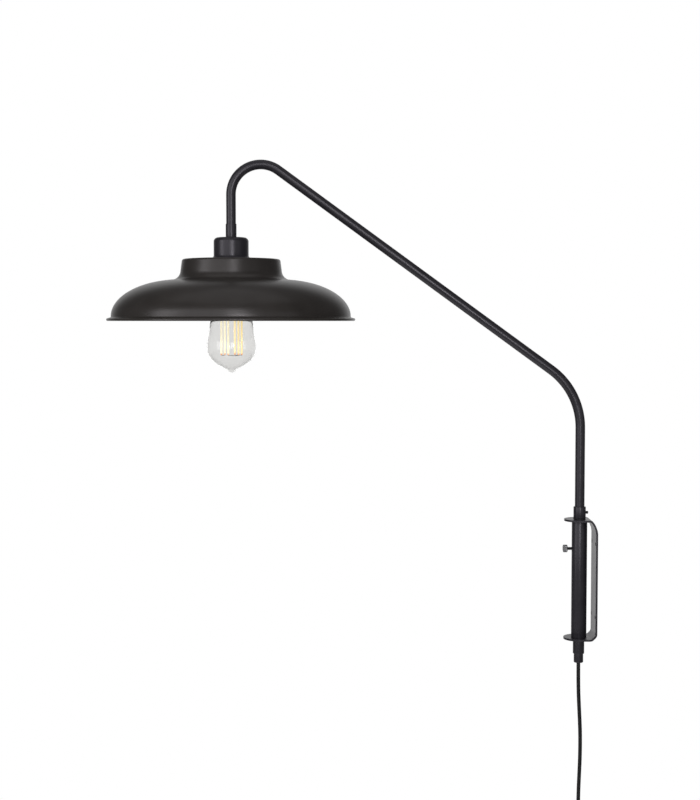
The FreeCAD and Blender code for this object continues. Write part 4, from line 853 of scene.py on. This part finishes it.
rolled_brass = grained("rolled_brass", {"Metallic": 1.0}, (0.58, 0.42, 0.17), (0.76, 0.58, 0.28),
                       0.26, 0.16, (2600.0, 3.0), (0.00002, 0.3), (220.0, 3.0))
skirt_outline = rounded([
    (NIPPLE_FIT, CEILING), (SKIRT_BORE, CEILING), (SKIRT_BORE, SKIRT_FOOT), (SKIRT_R, SKIRT_FOOT),
    (SKIRT_R, CUP_FOOT), (FLANGE_R, CUP_FOOT), (FLANGE_R, FLANGE_TOP), (SKIRT_R, FLANGE_TOP),
    (SKIRT_R, NUT_FOOT), (NIPPLE_FIT, NUT_FOOT)],
    [0.0001, 0.001, 0.0012, 0.0012, 0.0001, 0.0003, 0.0003, 0.0002, 0.001, 0.0001], 6)
fitted(lathe("lampholder_body", skirt_outline, LAMP, 128), "arm", ["lampholder_skirt"],
       moulded_black)
shell_flange = [(SHELL_BORE, INSERT_FOOT), (SHELL_FLANGE, INSERT_FOOT),
                (SHELL_FLANGE, INSERT_FOOT - SHELL_WALL), (SHELL_R, INSERT_FOOT - SHELL_WALL)]
shell_outline = np.vstack([straight(SHELL_BORE, SHELL_FOOT, SHELL_TOP, 90), shell_flange,
                           straight(SHELL_R, SHELL_TOP, SHELL_FOOT, 90)])
fitted(lathe("lampholder_shell", shell_outline, LAMP, 96, False, shell_thread), "arm",
       ["screw_shell"], rolled_brass)
painted(["lampholder_insert"], moulded_black)
painted(["centre_contact"], rolled_brass)
painted(["terminal_screws"], plated_steel)

# ---- The shade ----
# A shell spun from 1 mm sheet steel, painted matt black: a short neck, a hollow fillet, a dome that
# is a quarter of an ellipse, and a lip turned out and folded at its edge.

NECK_TOP = 0.0795
RIM_Z = CUP_FOOT - NECK_TOP
SHADE_WALL = 0.001
HOLE_R = SKIRT_R + 0.0006
NECK_R, NECK_TAPER, NECK_CORNER, NECK_FILLET = 0.0653, math.radians(7.5), 0.003, 0.012
DOME_START, DOME_R, DOME_HEIGHT, DOME_BASE = 0.0675, 0.1547, 0.053, 0.0055
BEAD_PLACE, BEAD_R = np.array([0.1587, 0.0015]), 0.0018


def shade_side(inset):
    """One side of the shell from its hole to the rim, as radius and height. The dome is its start
    plus the half axes times the cosine and sine; the fillet and the neck's corner are arcs tangent
    to the sides they join, and the fillet's end is found by halving the angle's range."""
    normal = np.array([math.cos(NECK_TAPER), math.sin(NECK_TAPER)])
    along = np.array([-math.sin(NECK_TAPER), math.cos(NECK_TAPER)])
    fillet, corner, top = NECK_FILLET + inset, NECK_CORNER - inset, NECK_TOP - inset
    half = np.array([DOME_R - DOME_START - inset, DOME_HEIGHT - DOME_BASE - inset])
    start = np.array([DOME_START, DOME_BASE])
    foot = np.array([NECK_R, DOME_HEIGHT + fillet]) - normal * inset

    def centre_at(angle):
        way = np.array([math.cos(angle), math.sin(angle)])
        return start + half * way + unit(way / half) * fillet

    low, high = math.pi / 4, math.pi / 2 + 0.2
    for _ in range(50):
        middle = (low + high) / 2
        if (centre_at(middle) - foot) @ normal > fillet:
            low = middle
        else:
            high = middle
    centre = centre_at(low)
    fillet_top = centre - normal * fillet
    edge = fillet_top + along * ((top - fillet_top[1]) / along[1])
    cut = corner * math.tan((math.pi / 2 - NECK_TAPER) / 2)
    corner_arc = arc(edge + np.array([-cut, -corner]), corner, math.pi / 2, NECK_TAPER, 8)
    dome = arc(start, half, low, 0, 64)
    away = dome[0] - centre
    fillet_end = math.atan2(away[1], away[0]) % (2 * math.pi)
    fillet_arc = arc(centre, fillet, NECK_TAPER + math.pi, fillet_end, 18)
    return np.vstack([[(HOLE_R, top), (0.04, top)], corner_arc, fillet_arc, dome[1:]])


def shade_outline():
    """Outside down to the crease, the lip with its rounded fold, and the inside back up."""
    outer, inner = shade_side(0.0), shade_side(SHADE_WALL)
    fold = arc(BEAD_PLACE, BEAD_R, math.radians(70), math.radians(-90), 14)
    crease = [(DOME_R + 0.0001, DOME_BASE - 0.0006), (DOME_R + 0.0008, DOME_BASE - 0.0013)]
    under = [(DOME_R + 0.0009, -0.0002), (DOME_R - 0.0002, -0.0001), (DOME_R - SHADE_WALL, 0.0006)]
    return np.vstack([outer, crease, fold, under, inner[::-1]])


def spun_skin(place):
    """Matt paint over a spun shell: faint rings about its axis, fine grain and soft clouds."""
    rings = rings_about(place, (1.0, 1.0, 0.0), (-LAMP_X, 0.0, 0.0), 420.0)
    cloud = noise(place, 26.0, 3.0)
    grain = noise(place, 1700.0)
    return {"Base Color": between(cloud.limited(0.3, 0.7), (0.0188, 0.0163, 0.0148),
                                  (0.0262, 0.0232, 0.0212)),
            "Roughness": 0.27 + 0.07 * cloud + 0.04 * grain,
            "Normal": bumped(0.5 * grain + rings, 0.00003, 0.25)}


spun_paint = new_material("spun_paint", {"IOR": 1.5, "Specular Tint": (0.98, 0.94, 0.97, 1.0)},
                          spun_skin)
fitted(lathe("shade_shell", shade_outline(), (LAMP_X, 0, RIM_Z), 288, sharp=50), "arm", ["shade"],
       spun_paint)

# ---- The shade's ring ----
# A moulded black ring with finger ribs. It screws up the lampholder's skirt and clamps the shade
# against the skirt's flange.

RING_TOP = CUP_FOOT - SHADE_WALL
RING_FOOT = RING_TOP - 0.008
RING_BORE = SKIRT_R + 0.00006
RING_R = 0.026
RING_RIBS = 30


def ring_ribs(outline, turn):
    """Narrow grooves between the ribs: the fourth power of a half less half the cosine of the turn,
    on the outside only."""
    groove = (0.5 - 0.5 * np.cos(turn * RING_RIBS)) ** 4
    return -0.0008 * groove * (outline[:, :1] > RING_R - 0.0005)


fitted(lathe("clamp_ring", sleeve_outline(RING_BORE, RING_R, RING_FOOT, RING_TOP, 0.0006),
             LAMP, 360, False, ring_ribs), "arm", ["shade_ring"], moulded_black)

# ---- The bulb's glass ----
# A pear-shaped bulb blown from clear glass, with the pip where its tube was sealed off, and the
# flared glass stem that closes its neck and holds the wires.

BULB_LONG = 0.142
CONTACT_THICK = 0.0005
BULB_TIP = INSERT_FOOT - CONTACT_THICK - SEAT_GAP - BULB_LONG
GLASS_HEIGHTS = np.array([0, 0.5, 1.6, 3.2, 4.9, 7.4, 11, 20.5, 33, 50, 68, 88, 106, 118]) / 1000
GLASS_RADII = np.array([0, 2.6, 4.0, 5.2, 7.8, 13.2, 19.2, 28.8, 32.0, 30.2, 26.9, 21.0, 14.6,
                        12.4]) / 1000
GLASS_WALL = 0.0008
STEM_FOOT = BULB_TIP + 0.075
STEM_LONG = 0.0428
STEM_FLARE = 0.0108


def smooth_through(places, first, last, steps):
    """A smooth line through places: cubic pieces whose ends share place and slope. The slopes solve
    the equations that make the curvature continuous, with given directions at the two ends."""
    gaps = np.linalg.norm(np.diff(places, axis=0), axis=1)
    count = len(places)
    system = np.zeros((count, count))
    right = np.zeros((count, 2))
    system[0, 0] = system[-1, -1] = 1
    right[0], right[-1] = first, last
    inside = np.arange(1, count - 1)
    system[inside, inside - 1] = gaps[1:]
    system[inside, inside] = 2 * (gaps[:-1] + gaps[1:])
    system[inside, inside + 1] = gaps[:-1]
    rise = np.diff(places, axis=0) / gaps[:, None]
    right[1:-1] = 3 * (gaps[1:, None] * rise[:-1] + gaps[:-1, None] * rise[1:])
    slopes = np.linalg.solve(system, right)
    t = np.linspace(0, 1, steps, endpoint=False)[None, :, None]
    start, end = places[:-1, None], places[1:, None]
    out, back = slopes[:-1, None] * gaps[:, None, None], slopes[1:, None] * gaps[:, None, None]
    line = ((2 * t ** 3 - 3 * t ** 2 + 1) * start + (t ** 3 - 2 * t ** 2 + t) * out
            + (3 * t ** 2 - 2 * t ** 3) * end + (t ** 3 - t ** 2) * back)
    return np.vstack([line.reshape(-1, 2), places[-1:]])


def glass_outline():
    """The outside through its stations, and the inside one wall within it along its own normals."""
    outside = smooth_through(np.stack([GLASS_RADII, GLASS_HEIGHTS], axis=1), (1, 0), (0, 1), 12)
    inside = outside + left_of(outside) * GLASS_WALL
    inside[0, 0] = 0.0
    inside[-1, 1] = outside[-1, 1]
    return np.vstack([outside, inside[::-1]])


def stem_outline():
    """A solid stem that flares to the neck, and the thick bead that carries the wires."""
    places = np.array([(0, 0), (0.0026, 0.0008), (0.0035, 0.004), (0.0034, 0.016), (0.0036, 0.030),
                       (0.0062, 0.0385), (STEM_FLARE, STEM_LONG - 0.001)])
    side = smooth_through(places, (1, 0), (0.6, 0.8), 10)
    return np.vstack([side, [(STEM_FLARE, STEM_LONG), (0, STEM_LONG)]])


def glass_skin(place):
    return {"Roughness": 0.004 + 0.012 * noise(place, 14.0).limited(0.35, 0.8)}


def new_glass(name, colour):
    """A thin clear glass. Its low IOR stands for a wall that bends the view little."""
    return new_material(name, {"Base Color": (*colour, 1.0), "Transmission Weight": 1.0,
                               "IOR": 1.15, "Coat Weight": 0.4, "Coat Roughness": 0.02}, glass_skin)


blown_glass = new_glass("blown_glass", (0.862, 0.860, 0.852))
stem_glass = new_glass("stem_glass", (0.97, 0.98, 0.97))
fitted(lathe("bulb_envelope", glass_outline(), (LAMP_X, 0, BULB_TIP), 160, sharp=60), "bulb",
       ["bulb_glass"], blown_glass)
fitted(lathe("bulb_mount", stem_outline(), (LAMP_X, 0, STEM_FOOT), 64), "bulb", ["bulb_stem"],
       stem_glass)

# ---- The bulb's cap ----
# A screw cap rolled from thin aluminium and crimped on the glass, a black glass insulator above it,
# and the soldered contact at its top.

INSULATOR_LONG = 0.005
SOLDER_LONG = 0.0012
CAP_TOP = BULB_TIP + BULB_LONG - SOLDER_LONG - INSULATOR_LONG
CAP_FOOT = CAP_TOP - 0.021
CAP_R = 0.0131
CAP_BORE = 0.0122


def cap_thread(outline, turn):
    """The cap's rolled thread, half a turn on from the shell's: 0.75 mm inwards from its crests,
    over the turns between crimp and shoulder."""
    rolled = thread(outline, turn + np.pi, CAP_PITCH, CAP_FOOT + 0.002, CAP_TOP - 0.0008, 0.0015)
    return -0.00075 * rolled * (outline[:, :1] > CAP_R - 0.00005)


rolled_aluminium = grained("rolled_aluminium", {"Metallic": 1.0}, (0.62, 0.61, 0.58),
                           (0.78, 0.77, 0.74), 0.28, 0.14, (3000.0, 3.0), (0.00002, 0.3),
                           (180.0, 3.0))
vitreous_black = grained("vitreous_black", {"IOR": 1.55}, (0.008, 0.008, 0.010),
                         (0.018, 0.017, 0.022), 0.16, 0.1, (700.0, 2.0))
crimp = [(0.01245, CAP_FOOT), (0.0129, CAP_FOOT)]
cap_side = straight(CAP_R, CAP_FOOT + 0.0008, CAP_TOP - 0.0006, 100)
shoulder = [(0.0127, CAP_TOP), (CAP_BORE, CAP_TOP), (CAP_BORE, CAP_TOP - 0.001),
            (CAP_BORE, CAP_FOOT + 0.001)]
fitted(lathe("bulb_screw_cap", np.vstack([crimp, cap_side, shoulder]), LAMP, 120, False,
             cap_thread), "bulb", ["bulb_cap"], rolled_aluminium)
insulator_outline = [(0, 0), (0.0122, 0), (0.0127, 0.0003), (0.0118, 0.0022), (0.0082, 0.0036),
                     (0.0056, 0.0049), (0.0052, INSULATOR_LONG), (0, INSULATOR_LONG)]
solder_outline = [(0, 0), (0.00475, 0), (0.00475, 0.0003), (0.0043, 0.0007), (0.003, 0.00095),
                  (0.0016, SOLDER_LONG), (0, SOLDER_LONG)]
fitted(lathe("bulb_collar", insulator_outline, (LAMP_X, 0, CAP_TOP), sharp=50), "bulb",
       ["bulb_insulator"], vitreous_black)
fitted(lathe("bulb_solder", solder_outline, (LAMP_X, 0, CAP_TOP + INSULATOR_LONG), 64, sharp=50),
       "bulb", ["bulb_contact"], rolled_aluminium)

# ---- The bulb's light sticks ----
# Six upright sticks coated with yellow phosphor, their ends bare and orange, joined in pairs at the
# foot and hung from the stem by drawn wires.

STICK_R = 0.00125
STICK_FOOT = BULB_TIP + 0.023
STICK_LONG = 0.052
STICK_RING = 0.0134
STICK_TURNS = np.radians(16 + 60 * np.arange(6))
WIRE_R = 0.00035
STEM_R = 0.0034


def rods(name, starts, ends, radius, sides=14, caps=4):
    """Round rods with domed ends, all in one mesh. Each ring is the place on the rod plus the girth
    times the cosine and sine of the turn, and the girth is a circle's over the domes."""
    way = unit(ends - starts)[:, None, None]
    reach = np.linalg.norm(ends - starts, axis=1)[:, None]
    side = unit(np.cross(way, np.where(np.abs(way[..., 2:]) > 0.9, [1.0, 0, 0], [0, 0, 1.0])))
    dome = np.linspace(0, np.pi / 2, caps + 1)
    depth, girth = (1 - np.cos(dome)) * radius, np.sin(dome) * radius
    along = np.hstack([depth + 0 * reach, reach - depth[::-1]])[..., None, None]
    girth = np.concatenate([girth, girth[::-1]])[:, None, None]
    turn = np.linspace(0, 2 * np.pi, sides, endpoint=False)[:, None]
    ring = np.cos(turn) * side + np.sin(turn) * np.cross(way, side)
    return grid(name, starts[:, None, None] + along * way + girth * ring, False, 60)


ring_places = np.stack([LAMP_X + STICK_RING * np.cos(STICK_TURNS), STICK_RING * np.sin(STICK_TURNS),
                        np.full(6, STICK_FOOT)], axis=1)
stick_tops = ring_places + np.array([0, 0, STICK_LONG])
hub = np.array([LAMP_X, 0, STICK_FOOT + STICK_LONG])
spokes = hub + (stick_tops - hub) * (STEM_R / STICK_RING)
lift = np.array([0, 0, WIRE_R])
wire_starts = np.vstack([spokes + lift, ring_places[0::2] - lift])
wire_ends = np.vstack([stick_tops + lift, ring_places[1::2] - lift])


def stick_skin(place):
    """A phosphor coat with painted light: paler on the left of the ring, where the light falls, and
    deeper yellow on the right. The ends are bare and orange. The share of the way from a stick's
    middle to its end, squared, tells the ends."""
    end = (place.part("Z") - STICK_FOOT - STICK_LONG / 2) * (2 / STICK_LONG)
    bare = (end * end).limited(0.79, 0.90)
    # Painted light: the sticks are paler on the left, where the light falls, and deeper yellow on
    # the right.
    across = (place.part("X") - LAMP_X).limited(-0.006, 0.006)
    coat_with_painted_light = between(across, (0.97, 0.90, 0.66), (0.96, 0.77, 0.40))
    colour = between(bare, coat_with_painted_light, (0.72, 0.34, 0.16))
    grain = noise(place, 2200.0, 3.0)
    # Painted glow: the sticks give off a faint light of their own colour.
    return {"Base Color": colour, "Emission Color": colour, "Roughness": 0.5 + 0.2 * grain,
            "Normal": bumped(grain, 0.00004, 0.5)}


# The emission strength is a painted glow that makes the sticks brighter than their colour alone.
phosphor = new_material("phosphor", {"Emission Strength": 0.70, "IOR": 1.5}, stick_skin)
drawn_wire = grained("drawn_wire", {"Metallic": 1.0}, (0.22, 0.20, 0.19), (0.36, 0.34, 0.32), 0.3,
                     0.2, (2600.0, 2.0))
fitted(rods("light_sticks", ring_places, stick_tops, STICK_R), "bulb", ["filament_sticks"],
       phosphor)
fitted(rods("light_wires", wire_starts, wire_ends, WIRE_R, 10, 3), "bulb", ["filament_wires"],
       drawn_wire)
